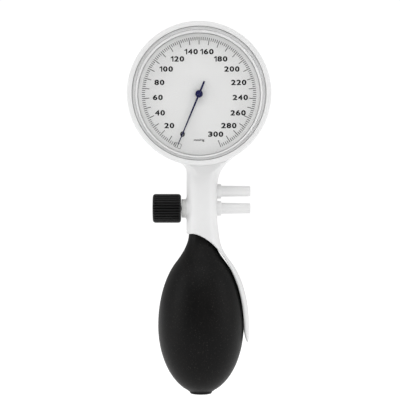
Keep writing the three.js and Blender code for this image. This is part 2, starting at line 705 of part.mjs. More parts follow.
function basePlate() {
  const disc = bar("y", BASE_RADIUS, BASE_FRONT, baseBack, SEGMENTS);
  const ear = (from, to) => plate(link(from, to, EAR_RADIUS), BASE_FRONT, baseBack);
  const screwEars = baseScrews.map((angle) =>
    ear(polar(BASE_RADIUS - 4, angle), polar(BASE_SCREW_CIRCLE, angle)),
  );
  const pillarEars = pillarPlaces.map((at) => ear(at.clone().multiplyScalar(0.8), at));
  const bossRooms = coverScrews.map((angle) => {
    const at = polar(COVER_SCREW_CIRCLE, angle);
    return bar("y", BOSS_RADIUS + PASS, BASE_FRONT - 1, baseBack + 1, 16).translate(at.x, 0, at.y);
  });
  const earHoles = baseScrews.map((angle) => {
    const at = polar(BASE_SCREW_CIRCLE, angle);
    return bar("y", BASE_SCREW_HOLE + PASS, BASE_FRONT - 1, baseBack + 1).translate(at.x, 0, at.y);
  });
  const lugs = lugPlaces.map((x) => {
    const lug = box(x - 0.6, x + 0.6, baseBack - 0.2, ROCKER_Y + 1.9, -1.9, 1.9);
    return cut(lug, bar("x", ROCKER_RADIUS + RUNNING, x - 2, x + 2)).translate(0, 0, sectorZ);
  });
  const arborHole = bar("y", ARBOR_RADIUS + RUNNING, BASE_FRONT - 1, baseBack + 1);
  const sectorHole = bar("y", 1 + RUNNING, BASE_FRONT - 1, baseBack + 1).translate(sectorX, 0, sectorZ);
  const fingerX = sectorX - TAIL_LENGTH;
  const slotBox = (edge, depth) =>
    box(
      fingerX - 1.2 - edge,
      fingerX + 1.2 + edge,
      BASE_FRONT - depth,
      baseBack + depth,
      sectorZ - 3 - edge,
      sectorZ + 4 + edge,
    );
  const windows = [90, 300].map((angle) => {
    const at = polar(15, degrees(angle));
    return bar("y", 5.5, BASE_FRONT - 1, baseBack + 1, 16).translate(at.x, 0, at.y);
  });
  const slotRim = slotBox(1.6, 0);
  const made = joined(cut(disc, ...bossRooms), ...screwEars, slotRim, ...pillarEars, ...lugs);
  return cut(made, arborHole, sectorHole, slotBox(0, 1), ...earHoles, ...windows);
}

const lugPlaces = [sectorX + 2, 4];
const pillarPlaces = [point(9.5, 0), point(sectorX - TAIL_LENGTH - 3.4, sectorZ)];

// The bridge's outline as a solid between two depths, with a clearance round it.
function bridgeOutline(clearance, front, back) {
  const [right, left] = pillarPlaces;
  return plate(link(right, left, BRIDGE_HALF_WIDTH + clearance), front, back);
}

function bridgePlate() {
  const pass = BRIDGE_FRONT - 1;
  const holes = pillarPlaces.map((at) =>
    bar("y", 0.7 + PASS, pass, bridgeBack + 1).translate(at.x, 0, at.y),
  );
  const arborHole = bar("y", ARBOR_RADIUS + RUNNING, pass, bridgeBack + 1);
  const sectorHole = bar("y", 1 + RUNNING, pass, bridgeBack + 1).translate(sectorX, 0, sectorZ);
  return cut(bridgeOutline(0, BRIDGE_FRONT, bridgeBack), arborHole, sectorHole, ...holes);
}

function hairspring() {
  const steps = Math.round(SPRING_TURNS * 14);
  const half = 0.08;
  const start = degrees(200);
  const line = (side) =>
    Array.from({ length: steps + 1 }, (_, i) => {
      const t = i / steps;
      const radius = SPRING_INNER + (SPRING_OUTER - SPRING_INNER) * t + side * half;
      return polar(radius, start + SPRING_TURNS * TURN * t);
    });
  const outline = new THREE.Shape([...line(1), ...line(-1).reverse()]);
  return plate(outline, GEAR_FRONT - 0.85, GEAR_FRONT - 0.35);
}

// ---- Pressure capsule ----

// A corrugated disc's face at a radius: flat in the middle and at the edge, with waves between them.
function wave(radius) {
  const t = (radius - 4) / (CAPSULE_RADIUS - 6);
  if (t <= 0 || t >= 1) return 0;
  return 0.25 * Math.sin(2 * TURN * t);
}

// side is -1 for the front half and 1 for the back one.
function capsuleHalf(side, inner) {
  const seam = (CAPSULE_FRONT + capsuleBack) / 2 + side * GAP / 2;
  const crown = side < 0 ? CAPSULE_FRONT : capsuleBack;
  const rise = (t) => seam + (crown - seam) * t;
  const radii = Array.from({ length: 9 }, (_, i) => 4 + ((CAPSULE_RADIUS - 6) * i) / 8);
  const outside = radii.map((r) => [r, rise(1) - side * 0.3 + side * wave(r)]);
  const inside = radii.map((r) => [r, rise(1) - side * (0.3 + CAPSULE_WALL) + side * wave(r)]);
  const foot = seam + side * CAPSULE_WALL;
  return turned("y", 20, [
    [inner, rise(1)],
    [3.4, rise(1)],
    ...outside,
    [CAPSULE_RADIUS - 1.4, foot],
    [CAPSULE_RADIUS, foot],
    [CAPSULE_RADIUS, seam],
    [CAPSULE_RADIUS - 1.8, seam],
    ...inside.reverse(),
    [inner, rise(1) - side * (0.3 + CAPSULE_WALL)],
  ]);
}

const STUD_RADIUS = 1.8;

function capsuleRear() {
  const stud = ring(CHANNEL / 1.5, STUD_RADIUS, capsuleBack - 0.5, strapBack + 1.2, 16);
  return joined(capsuleHalf(1, CHANNEL / 1.5), stud);
}

function capsulePost() {
  return turned("y", 16, [
    [0, postTip],
    [0.3, postTip],
    [0.7, postTip + 0.6],
    [0.7, CAPSULE_FRONT - GAP - 0.6],
    [1.1, CAPSULE_FRONT - GAP - 0.6],
    [1.1, CAPSULE_FRONT - GAP],
    [0, CAPSULE_FRONT - GAP],
  ]);
}

const postTip = ROCKER_Y + ROCKER_OFFSET * Math.sin(rockerSweep / 2) + 0.4 + GAP + 0.1;

// The bracket that holds the capsule's stud behind it: a strap on two legs from the base plate.
function capsuleBracket() {
  const half = STRAP_WIDTH / 2;
  const strap = box(-half, half, strapFront, strapBack, -bracketReach, bracketReach);
  const legs = [-1, 1].map((side) => {
    const inner = side * (bracketReach - STRAP_THICKNESS);
    const outer = side * bracketReach;
    return box(-half, half, baseBack + GAP, strapBack, Math.min(inner, outer), Math.max(inner, outer));
  });
  const hole = bar("y", STUD_RADIUS + PASS, strapFront - 1, strapBack + 1);
  return cut(joined(strap, ...legs), hole);
}

const INLET_RADIUS = 3.4;
const INLET_NIPPLE = 6.2; // from the stud's axis to the nipple's end

function capsuleInlet() {
  const nut = bar("y", INLET_RADIUS, strapBack + GAP, coverFront - GAP, 6);
  const nipple = bar("z", 1, -INLET_NIPPLE, -1).translate(0, inletY, 0);
  const socket = bar("y", STUD_RADIUS + PASS, strapBack, inletY);
  const bore = bar("z", 0.5, -INLET_NIPPLE - 1, 0, 10).translate(0, inletY, 0);
  return cut(joined(nut, nipple), socket, bore);
}

// The soft hose from the manifold block up the neck, behind the capsule, to its inlet.
function gaugeHose() {
  const at = (x, y, z) => new THREE.Vector3(x, y, z);
  const low = HEAD_Z - cavityRadius - 2;
  const high = HEAD_Z - bracketReach + 0.5;
  const middle = (low + high) / 2;
  const path = new THREE.CurvePath();
  const turnBack = [
    at(hoseX, hoseY, low),
    at(hoseX, hoseY, middle),
    at(0, inletY, middle),
    at(0, inletY, high),
  ];
  path.add(new THREE.LineCurve3(at(hoseX, hoseY, hoseFoot), turnBack[0]));
  path.add(new THREE.CubicBezierCurve3(...turnBack));
  path.add(new THREE.LineCurve3(turnBack[3], at(0, inletY, HEAD_Z - INLET_NIPPLE - GAP)));
  const section = new THREE.Shape();
  section.absarc(0, 0, HOSE_RADIUS, 0, TURN, false);
  const bore = new THREE.Path();
  bore.absarc(0, 0, 0.7, 0, TURN, true);
  section.holes.push(bore);
  const options = { steps: 16, curveSegments: 4, bevelEnabled: false, extrudePath: path };
  return solid(new THREE.ExtrudeGeometry(section, options));
}

// ---- Pointer ----

function pointer() {
  const front = DIAL_FRONT - 1.6;
  const back = DIAL_FRONT - 1.1;
  const angle = degrees(-90 - SCALE_START);
  const across = (radius, half) => [
    polar(radius, angle).add(polar(half, angle + Math.PI / 2)),
    polar(radius, angle).add(polar(half, angle - Math.PI / 2)),
  ];
  const [tipA, tipB] = across(28.7, 0.15);
  const [rootA, rootB] = across(0, 0.42);
  const [tailA, tailB] = across(-7.3, 0.42);
  const arm = plate(new THREE.Shape([tailB, rootB, tipB, tipA, rootA, tailA]), front, back);
  const boss = bar("y", 1.9, front, back, 20);
  const bore = bar("y", ARBOR_RADIUS + 0.05, front - 1, back + 1);
  return cut(joined(arm, boss), bore);
}

function pointerCap() {
  const front = DIAL_FRONT - 2.9;
  return turned("y", 20, [
    [0, front],
    [1.6, front],
    [2, front + 0.3],
    [2, DIAL_FRONT - 1.6 - 0.1],
    [ARBOR_RADIUS + 0.1, DIAL_FRONT - 1.7],
    [ARBOR_RADIUS + 0.1, DIAL_FRONT - 2.4],
    [0, DIAL_FRONT - 2.4],
  ]);
}

// ---- Stem fittings ----

function manifoldBlock() {
  const half = BLOCK_DEPTH / 2;
  const block = box(blockLeft, blockRight, -half, half, BLOCK_BOTTOM, BLOCK_TOP);
  const nipple = bar("z", 1, BLOCK_TOP - 1, BLOCK_TOP + 2, 12).translate(hoseX, hoseY, 0);
  const stubBore = bar("z", STUB_RADIUS + PASS, BLOCK_BOTTOM - 1, BLOCK_BOTTOM + 1.65);
  const riser = bar("z", 1, BLOCK_BOTTOM, LOWER_PORT_Z, 10).translate(BULB_X, 0, 0);
  const valveBore = bar("x", VALVE_SHANK + PASS, blockLeft - 1, blockLeft + 3.6);
  const cross = bar("x", CHANNEL, blockLeft + 2, blockRight - 2, 12).translate(0, 0, LOWER_PORT_Z);
  const spigotBores = [LOWER_PORT_Z, UPPER_PORT_Z].map((z) =>
    bar("x", SPIGOT_SHANK + PASS, blockRight - 3.6, blockRight + 1).translate(0, 0, z),
  );
  const gaugeCross = bar("x", 0.5, hoseX, blockRight - 2, 8).translate(0, hoseY, UPPER_PORT_Z);
  const gaugeRiser = bar("z", 0.6, UPPER_PORT_Z - 0.9, BLOCK_TOP + 3, 10).translate(hoseX, hoseY, 0);
  return cut(
    joined(block, nipple),
    stubBore.translate(BULB_X, 0, 0),
    riser,
    valveBore.translate(0, 0, LOWER_PORT_Z),
    cross,
    ...spigotBores,
    gaugeCross,
    gaugeRiser,
  );
}

// A hose spigot along X: a shank into the block, a collar on the stem and a slightly tapered tube.
function spigot() {
  const collar = stemRight + GAP;
  const tube = collar + COLLAR_LENGTH;
  const end = tube + SPIGOT_LENGTH;
  return turned("x", 20, [
    [CHANNEL, blockRight - 3.3],
    [SPIGOT_SHANK, blockRight - 3.3],
    [SPIGOT_SHANK, collar],
    [SPIGOT_COLLAR, collar],
    [SPIGOT_COLLAR, tube - 0.4],
    [SPIGOT_COLLAR - 0.4, tube],
    [SPIGOT_ROOT, tube],
    [SPIGOT_TIP, end - 0.4],
    [SPIGOT_TIP - 0.4, end],
    [CHANNEL, end],
  ]);
}

const valveFace = stemLeft - GAP - VALVE_COLLAR_LENGTH; // outer face of the release valve's collar
const seatX = blockLeft + 0.9;
const SEAT_RADIUS = 1.1; // the wide end of the seat's cone

function valveHousing() {
  const bore = SPINDLE_RADIUS + RUNNING;
  const groove = bore + 2 * O_RING + O_RING_ROOM;
  const inner = blockLeft + 3.3;
  return turned("x", 20, [
    [bore, valveFace],
    [VALVE_COLLAR - 0.3, valveFace],
    [VALVE_COLLAR, valveFace + 0.3],
    [VALVE_COLLAR, stemLeft - GAP],
    [VALVE_SHANK, stemLeft - GAP],
    [VALVE_SHANK, inner],
    [0.6, inner],
    [0.6, seatX + 0.8],
    [SEAT_RADIUS, seatX],
    [bore, seatX],
    [bore, valveFace + 1.9],
    [groove, valveFace + 1.9],
    [groove, valveFace + 0.7],
    [bore, valveFace + 0.7],
  ]);
}

function oRing() {
  const middle = SPINDLE_RADIUS + RUNNING + O_RING;
  const torus = new THREE.TorusGeometry(middle, O_RING, 8, 20);
  return solid(torus.rotateY(Math.PI / 2)).translate(valveFace + 1.3, 0, 0);
}

const spindleEnd = seatX - 1.2;

function valveSpindle() {
  return bar("x", SPINDLE_RADIUS, valveFace - 9, spindleEnd, 20);
}

function valveNeedle() {
  return turned("x", 16, [
    [0, spindleEnd + GAP],
    [SPINDLE_RADIUS - 0.2, spindleEnd + GAP],
    [SPINDLE_RADIUS - 0.2, spindleEnd + GAP + 0.3],
    [SEAT_RADIUS - 0.12, seatX],
    [0.35, seatX + 0.9],
    [0, seatX + 0.9],
  ]);
}

function valveKnob() {
  const inner = valveFace - GAP;
  const count = KNOB_FLUTES * 2;
  const outline = Array.from({ length: count }, (_, i) =>
    polar(KNOB_RADIUS - FLUTE_DEPTH * (i % 2), (TURN * i) / count),
  );
  const options = { depth: KNOB_LENGTH, bevelEnabled: false };
  const fluted = new THREE.ExtrudeGeometry(new THREE.Shape(outline), options);
  fluted.rotateY(Math.PI / 2).translate(inner - KNOB_LENGTH, 0, 0);
  const rounding = [0, 45, 90].map((angle) => {
    const at = polar(KNOB_EDGE, degrees(angle));
    return [KNOB_RADIUS - KNOB_EDGE + at.x, KNOB_EDGE - at.y];
  });
  const rounded = turned("x", KNOB_FLUTES, [
    [0, inner - KNOB_LENGTH],
    ...rounding.toReversed().map(([r, t]) => [r, inner - KNOB_LENGTH + t]),
    ...rounding.map(([r, t]) => [r, inner - t]),
    [0, inner],
  ]);
  const socket = bar("x", SPINDLE_RADIUS + 0.05, valveFace - 9.3, inner + 1, 20);
  return cut(solid(fluted).intersect(rounded), socket);
}

// ---- Bulb and its valves ----

function bulb() {
  const inner = () => -BULB_WALL;
  const neckTop = BLOCK_BOTTOM - 2.4;
  return turned("z", 32, [
    [END_BORE, BULB_END],
    ...bulbOutline(() => 0, BULB_END, STEM_FOOT - GAP, 16),
    [BULB_TAIL, STEM_FOOT - GAP],
    [BULB_TAIL, neckTop],
    [NECK_BORE, neckTop],
    [NECK_BORE, STEM_FOOT - 6],
    ...bulbOutline(inner, STEM_FOOT - 8, BULB_END + 5, 9),
    [END_BORE, BULB_END + 4],
  ]);
}

const OUTLET_SEAT = 50;
const DISC_THICKNESS = 0.8;
const DISC_LIFT = 0.9;
const discRoom = GAP + DISC_THICKNESS + DISC_LIFT; // above a seat
const STUB_RADIUS = 2.2; // of the outlet valve's tube into the block

function outletValveBody() {
  const top = OUTLET_SEAT + 5;
  return turned("z", 20, [
    [1.2, STEM_FOOT - 5.6],
    [2.6, STEM_FOOT - 5.6],
    [NECK_BORE - GAP, STEM_FOOT - 5],
    [NECK_BORE - GAP, top],
    [2.5, top],
    [2.5, OUTLET_SEAT],
    [1.2, OUTLET_SEAT],
  ]);
}

function outletValveRetainer() {
  return turned("z", 20, [
    [1, OUTLET_SEAT + discRoom + 0.7],
    [STUB_RADIUS, OUTLET_SEAT + discRoom + 0.7],
    [STUB_RADIUS, BLOCK_BOTTOM + 1.35],
    [1, BLOCK_BOTTOM + 1.35],
  ]);
}

const INLET_SEAT = BULB_END + 5.2;
const END_FACE = BULB_END - 1.4;

function inletValveBody() {
  const top = INLET_SEAT + 4.2;
  const barrel = END_BORE - GAP;
  return turned("z", 24, [
    [1.4, INLET_SEAT - 2],
    [3.1, INLET_SEAT - 2],
    [3.1, END_FACE],
    [5.6, END_FACE],
    [6.2, BULB_END - GAP],
    [barrel, BULB_END - GAP],
    [barrel, top],
    [2.9, top],
    [2.9, INLET_SEAT],
    [1.4, INLET_SEAT],
  ]);
}

function inletValveCage() {
  return turned("z", 16, [
    [1.2, INLET_SEAT + discRoom + 0.5],
    [2.6, INLET_SEAT + discRoom + 0.5],
    [2.6, INLET_SEAT + 4.2],
    [1.2, INLET_SEAT + 4.2],
  ]);
}

function inletFilter() {
  return bar("z", 2.8, END_FACE + 0.6, INLET_SEAT - 2 - GAP, 16);
}

// ---- Assembly ----

const gauge = new THREE.Group();
const head = new THREE.Group();
head.position.set(0, 0, HEAD_Z);
const stemParts = new THREE.Group();
const bulbParts = new THREE.Group();
bulbParts.position.set(BULB_X, 0, 0);
gauge.add(head, stemParts, bulbParts);

add(gauge, "body", body(), "white");

add(head, "rear_cover", rearCover(), "white");
coverScrews.forEach((angle, i) => {
  const at = polar(COVER_SCREW_CIRCLE, angle);
  const made = screw(COVER_HEAD, COVER_HEAD_DEPTH, COVER_SCREW_HOLE - 0.1, 9);
  add(head, `rear_cover_screw_${i + 1}`, made.translate(at.x, headBack - 0.1, at.y), "steel");
});
add(head, "bezel_ring", bezelRing(), "white");
add(head, "lens", lens(), "clear");
const gasketInner = WELL_RADIUS + 0.3;
const gasketBack = gasketFront + GASKET_THICKNESS;
add(head, "lens_gasket", ring(gasketInner, spigotRadius - 0.1, gasketFront, gasketBack), "silicone");
add(head, "dial_surround", dialSurround(), "white");
add(head, "dial_plate", ring(ARBOR_RADIUS + 0.9, DIAL_RADIUS, DIAL_FRONT, dialBack), "dial");
add(head, "pointer", pointer(), "navy");
add(head, "pointer_cap", pointerCap(), "navy");
add(head, "pinion_arbor", pinionArbor(), "steel");
add(head, "hairspring", hairspring(), "bronze");
const studAt = polar(SPRING_OUTER + 1.1, degrees(-20));
const springStud = bar("y", 0.7, GEAR_FRONT - 1, BASE_FRONT - GAP, 12);
add(head, "hairspring_stud", springStud.translate(studAt.x, 0, studAt.y), "brass");
add(head, "bridge_plate", bridgePlate(), "brass");
pillarPlaces.forEach((at, i) => {
  const pillar = ring(0.9, PILLAR_RADIUS, bridgeBack + GAP, BASE_FRONT - GAP, 16);
  add(head, `bridge_pillar_${i + 1}`, pillar.translate(at.x, 0, at.y), "brass");
  const made = screw(1.4, 0.6, 0.6, 3.6).rotate([180, 0, 0]);
  add(head, `bridge_screw_${i + 1}`, made.translate(at.x, BRIDGE_FRONT - 0.6 - GAP, at.y), "steel");
});
add(head, "base_plate", basePlate(), "brass");
baseScrews.forEach((angle, i) => {
  const at = polar(BASE_SCREW_CIRCLE, angle);
  const made = screw(1.5, 0.8, BASE_SCREW_HOLE - 0.1, 3.6);
  add(head, `base_plate_screw_${i + 1}`, made.translate(at.x, baseBack + GAP + 0.8, at.y), "steel");
});
add(head, "sector_gear", sectorGear().translate(sectorX, 0, sectorZ), "brass");
const sectorShaft = bar("y", 1, BRIDGE_FRONT - 0.1, baseBack + 0.1);
add(head, "sector_shaft", sectorShaft.translate(sectorX, 0, sectorZ), "steel");
add(head, "rocker_shaft", rockerShaft().translate(0, ROCKER_Y, sectorZ), "steel");
add(head, "capsule_post", capsulePost(), "brass");
add(head, "capsule_front", capsuleHalf(-1, 0), "bronze");
add(head, "capsule_rear", capsuleRear(), "bronze");
add(head, "capsule_bracket", capsuleBracket(), "brass");
add(head, "capsule_inlet", capsuleInlet(), "brass");
add(gauge, "gauge_hose", gaugeHose(), "silicone");

add(stemParts, "stem_cover", stemCover(), "white");
add(stemParts, "manifold_block", manifoldBlock(), "lightGrey");
add(stemParts, "upper_spigot", spigot().translate(0, 0, UPPER_PORT_Z), "white");
add(stemParts, "lower_spigot", spigot().translate(0, 0, LOWER_PORT_Z), "white");
add(stemParts, "valve_housing", valveHousing().translate(0, 0, LOWER_PORT_Z), "lightGrey");
add(stemParts, "valve_o_ring", oRing().translate(0, 0, LOWER_PORT_Z), "seal");
add(stemParts, "valve_needle", valveNeedle().translate(0, 0, LOWER_PORT_Z), "steel");
add(stemParts, "valve_spindle", valveSpindle().translate(0, 0, LOWER_PORT_Z), "steel");
add(stemParts, "valve_knob", valveKnob().translate(0, 0, LOWER_PORT_Z), "blackPlastic");

add(bulbParts, "bulb", bulb(), "blackRubber");
add(bulbParts, "outlet_valve_body", outletValveBody(), "steel");
add(bulbParts, "outlet_valve_retainer", outletValveRetainer(), "steel");
const outletDisc = bar("z", 2.1, OUTLET_SEAT + GAP, OUTLET_SEAT + GAP + DISC_THICKNESS);
add(bulbParts, "outlet_valve_disc", outletDisc, "seal");
add(bulbParts, "inlet_valve_body", inletValveBody(), "blackPlastic");
const inletDisc = bar("z", 2.5, INLET_SEAT + GAP, INLET_SEAT + GAP + DISC_THICKNESS);
add(bulbParts, "inlet_valve_disc", inletDisc, "seal");
add(bulbParts, "inlet_valve_cage", inletValveCage(), "steel");
add(bulbParts, "inlet_filter", inletFilter(), "brass");

export default gauge;
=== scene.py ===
import json
import math

import bmesh
import bpy
import numpy as np
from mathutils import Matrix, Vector


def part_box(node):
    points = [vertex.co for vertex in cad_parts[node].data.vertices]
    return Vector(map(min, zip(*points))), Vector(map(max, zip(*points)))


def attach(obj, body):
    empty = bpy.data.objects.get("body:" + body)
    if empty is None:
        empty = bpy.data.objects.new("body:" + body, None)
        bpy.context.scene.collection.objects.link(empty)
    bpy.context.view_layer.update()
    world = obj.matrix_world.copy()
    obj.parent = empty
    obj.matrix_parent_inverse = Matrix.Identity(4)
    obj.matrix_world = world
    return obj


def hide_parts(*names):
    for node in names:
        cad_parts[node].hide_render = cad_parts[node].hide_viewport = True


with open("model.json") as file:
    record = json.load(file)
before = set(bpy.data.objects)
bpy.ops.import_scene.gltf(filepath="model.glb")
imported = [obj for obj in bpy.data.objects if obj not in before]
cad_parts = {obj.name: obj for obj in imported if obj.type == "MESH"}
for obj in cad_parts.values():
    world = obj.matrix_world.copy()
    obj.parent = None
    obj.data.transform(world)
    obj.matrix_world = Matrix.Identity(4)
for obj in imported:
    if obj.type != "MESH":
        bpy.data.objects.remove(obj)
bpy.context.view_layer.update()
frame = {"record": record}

# The looks of a palm-held blood pressure gauge. Sizes are in millimetres until a mesh is made, and the
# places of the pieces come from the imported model.
MM = 0.001


def node_box(name):
    """A CAD node's lowest and highest corners, in millimetres."""
    low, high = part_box(name)
    return np.array(low) / MM, np.array(high) / MM


def joint_place(name):
    """A hinge's point, in millimetres."""
    joint = next(j for j in frame["record"]["behaviour"]["joints"] if j["name"] == name)
    return np.array(joint["pos_m"]) / MM


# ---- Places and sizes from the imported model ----

HEAD = joint_place("pointer_turn")
HEAD_X, HEAD_Z = HEAD[0], HEAD[2]
BEZEL_LOW, BEZEL_HIGH = node_box("bezel_ring")
BEZEL_RADIUS = (BEZEL_HIGH[2] - BEZEL_LOW[2]) / 2
LENS_LOW, LENS_HIGH = node_box("lens")
DIAL_LOW, DIAL_HIGH = node_box("dial_plate")
DIAL_RADIUS = (DIAL_HIGH[2] - DIAL_LOW[2]) / 2
DIAL_FACE = DIAL_LOW[1]
COVER_LOW, COVER_HIGH = node_box("rear_cover")
BODY_LOW, BODY_HIGH = node_box("body")
BULB_LOW, BULB_HIGH = node_box("bulb")
BULB_X = (BULB_LOW[0] + BULB_HIGH[0]) / 2
BULB_RADIUS = (BULB_HIGH[0] - BULB_LOW[0]) / 2
BULB_END = BULB_LOW[2]
KNOB_LOW, KNOB_HIGH = node_box("valve_knob")
PORT_Z = (KNOB_LOW[2] + KNOB_HIGH[2]) / 2
BLOCK_LOW, BLOCK_HIGH = node_box("manifold_block")
STEM_COVER_LOW, STEM_COVER_HIGH = node_box("stem_cover")
VALVE_LOW, VALVE_HIGH = node_box("valve_housing")
VALVE_COLLAR = (VALVE_HIGH[2] - VALVE_LOW[2]) / 2
SCREWS = [sum(node_box(f"rear_cover_screw_{i}")) / 2 for i in (1, 2, 3)]

# ---- Sizes of the design that the boxes don't give ----

GAP = 0.3
CASE_RADIUS = BODY_HIGH[0] - HEAD_X
CASE_FRONT = BEZEL_HIGH[1] + GAP
CASE_WALL = 2.5
COVER_RIM = 1.3  # wall of the case round the rear cover
CASE_FRONT_ROUNDING = 0.5
CASE_BACK_ROUNDING = 2.4
RIM_RADIUS = 36.0
WELL_RADIUS = 33.9
LEDGE_RADIUS = 31.0
LEDGE_DEPTH = 1.5
LEDGE_FRONT = DIAL_HIGH[1] + GAP
LEDGE_BACK = LEDGE_FRONT + LEDGE_DEPTH
CAVITY_RADIUS = CASE_RADIUS - CASE_WALL
COVER_ROOM = CASE_RADIUS - COVER_RIM
BOSS_RADIUS = 2.8
SCREW_BORE = 1.4
STEM_LEFT = -6.7
STEM_RIGHT = 9.8
STEM_FRONT = -8.5
STEM_BACK = 9.5
STEM_FRONT_EDGE = 7.5
STEM_BACK_EDGE = 4.0
STEM_FOOT = 49.2
STEM_BELOW = 9.0  # the stem's field runs this far below its foot
STEM_SHORT = 27.0  # and ends this far below the dial's centre
NECK_BLEND_LEFT = 5.0  # size of the neck's flares
NECK_BLEND_RIGHT = 13.0
FRONT_PROUD = 0.2  # the flares may stand this far in front of the stem
FRONT_ROUNDING = 0.4
LID_THICKNESS = 1.8
SEAT_BLEND = 1.4
VALVE_BORE = 3.5
SPIGOT_BORE = 2.5
SOCKET_RADIUS = 5.6  # room for the bulb's tail
RISER_BORE = 2.5
HOSE_Y = 1.0
HOSE_ROOM = 3.3
BULB_UPPER = 41.7
BULB_LOWER = 36.6
BULB_SHOULDER = 34.0
BULB_NECK = 6.5
BULB_WALL = 2.2
BULB_TAIL = 5.3  # radius of the neck inside the stem
NECK_BORE = 3.6
END_BORE = 4.3
SPOON_GAP = 0.5
SPOON_THICKNESS = 2.4
SPOON_TIP = BODY_LOW[2]
SPOON_HALF_WIDTH = 7.5
SPOON_EDGE = 0.5
SPOON_BLEND = 3.0
SPOON_ROUNDING = 1.6
TONGUE_POWER = 2.6
SPOON_SINK = 6.0
SINK_FROM = 45.0
SINK_LENGTH = 15.0
TIP_FROM = -3.0
TIP_TAPER = 2.0
EDGE_X = BULB_X - 5
EDGE_Z = 5.0
EDGE_POWER = 1.75
ROOM_ROUNDING = 1.0


# ---- Meshes ----


def place(mesh_name, vertices, faces, body, material, nodes=(), smooth=None):
    """A piece from points in millimetres, riding on a body.

    smooth is the angle in degrees past which edges stay sharp.
    """
    mesh = bpy.data.meshes.new(mesh_name)
    mesh.from_pydata((np.asarray(vertices, float) * MM).tolist(), [], faces)
    mesh.validate()
    mesh.update()
    mesh.polygons.foreach_set("use_smooth", [True] * len(mesh.polygons))
    if smooth is not None:
        mesh.set_sharp_from_angle(angle=math.radians(smooth))
    mesh.materials.append(material)
    piece = bpy.data.objects.new(mesh_name, mesh)
    bpy.context.scene.collection.objects.link(piece)
    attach(piece, body)
    if nodes:
        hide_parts(*nodes)
    return piece


def filleted(points, radius, steps=4):
    """The corners of a closed outline, each rounded as far as its sides allow.

    A third number in a point is its own radius.
    """
    result = []
    count = len(points)
    for i, point in enumerate(points):
        before = np.array(points[i - 1][:2], float)
        here = np.array(point[:2], float)
        after = np.array(points[(i + 1) % count][:2], float)
        size = point[2] if len(point) > 2 else radius
        a, b = before - here, after - here
        la, lb = np.linalg.norm(a), np.linalg.norm(b)
        cosine = np.clip(a @ b / (la * lb), -1, 1)
        if size <= 0 or here[0] < 1e-6 or cosine < -0.999:
            result.append(tuple(here))
            continue
        half = math.acos(cosine) / 2
        back = min(size / math.tan(half), 0.48 * la, 0.48 * lb)
        start, end = here + a / la * back, here + b / lb * back
        for k in range(steps + 1):
            t = k / steps
            result.append(tuple((1 - t) ** 2 * start + 2 * t * (1 - t) * here + t * t * end))
    return result


def revolve(profile, axis, centre, segments):
    """Vertices and faces of a closed [radius, along] profile turned round an axis through centre."""
    vertices, faces, rings = [], [], []
    for radius, along in profile:
        ring = []
        turns = 1 if radius < 1e-6 else segments
        for i in range(turns):
            angle = 2 * math.pi * i / segments
            u, v = radius * math.cos(angle), radius * math.sin(angle)
            offset = {"x": (along, u, v), "y": (v, along, u), "z": (u, v, along)}[axis]
            ring.append(len(vertices))
            vertices.append([c + o for c, o in zip(centre, offset)])
        rings.append(ring)
    for low, high in zip(rings, rings[1:] + rings[:1]):
        for i in range(segments):
            a, b = low[i % len(low)], low[(i + 1) % len(low)]
            c, d = high[(i + 1) % len(high)], high[i % len(high)]
            face = []
            for corner in (a, b, c, d):
                if corner not in face:
                    face.append(corner)
            if len(face) > 2:
                faces.append(face)
    area = sum(
        (r1 * t2 - r2 * t1) for (r1, t1), (r2, t2) in zip(profile, profile[1:] + profile[:1])
    )
    if area < 0:
        faces = [f[::-1] for f in faces]
    return vertices, faces


def turned(
    name, profile, axis, centre, body, slot, material, nodes=(), radius=0.15, segments=96, smooth=40
):
    """A turned piece with rounded corners."""
    outline = filleted(profile, radius)
    vertices, faces = revolve(outline, axis, centre, segments)
    return place(name, vertices, faces, body, material, nodes, smooth)


# ---- Surfaces from a distance field ----


def smooth_min(a, b, size):
    """The lesser of two distances, with the corner between them rounded over about size."""
    share = np.clip(0.5 + 0.5 * (b - a) / size, 0, 1)
    return b * (1 - share) + a * share - size * share * (1 - share)


def smooth_max(a, b, size):
    return -smooth_min(-a, -b, size)


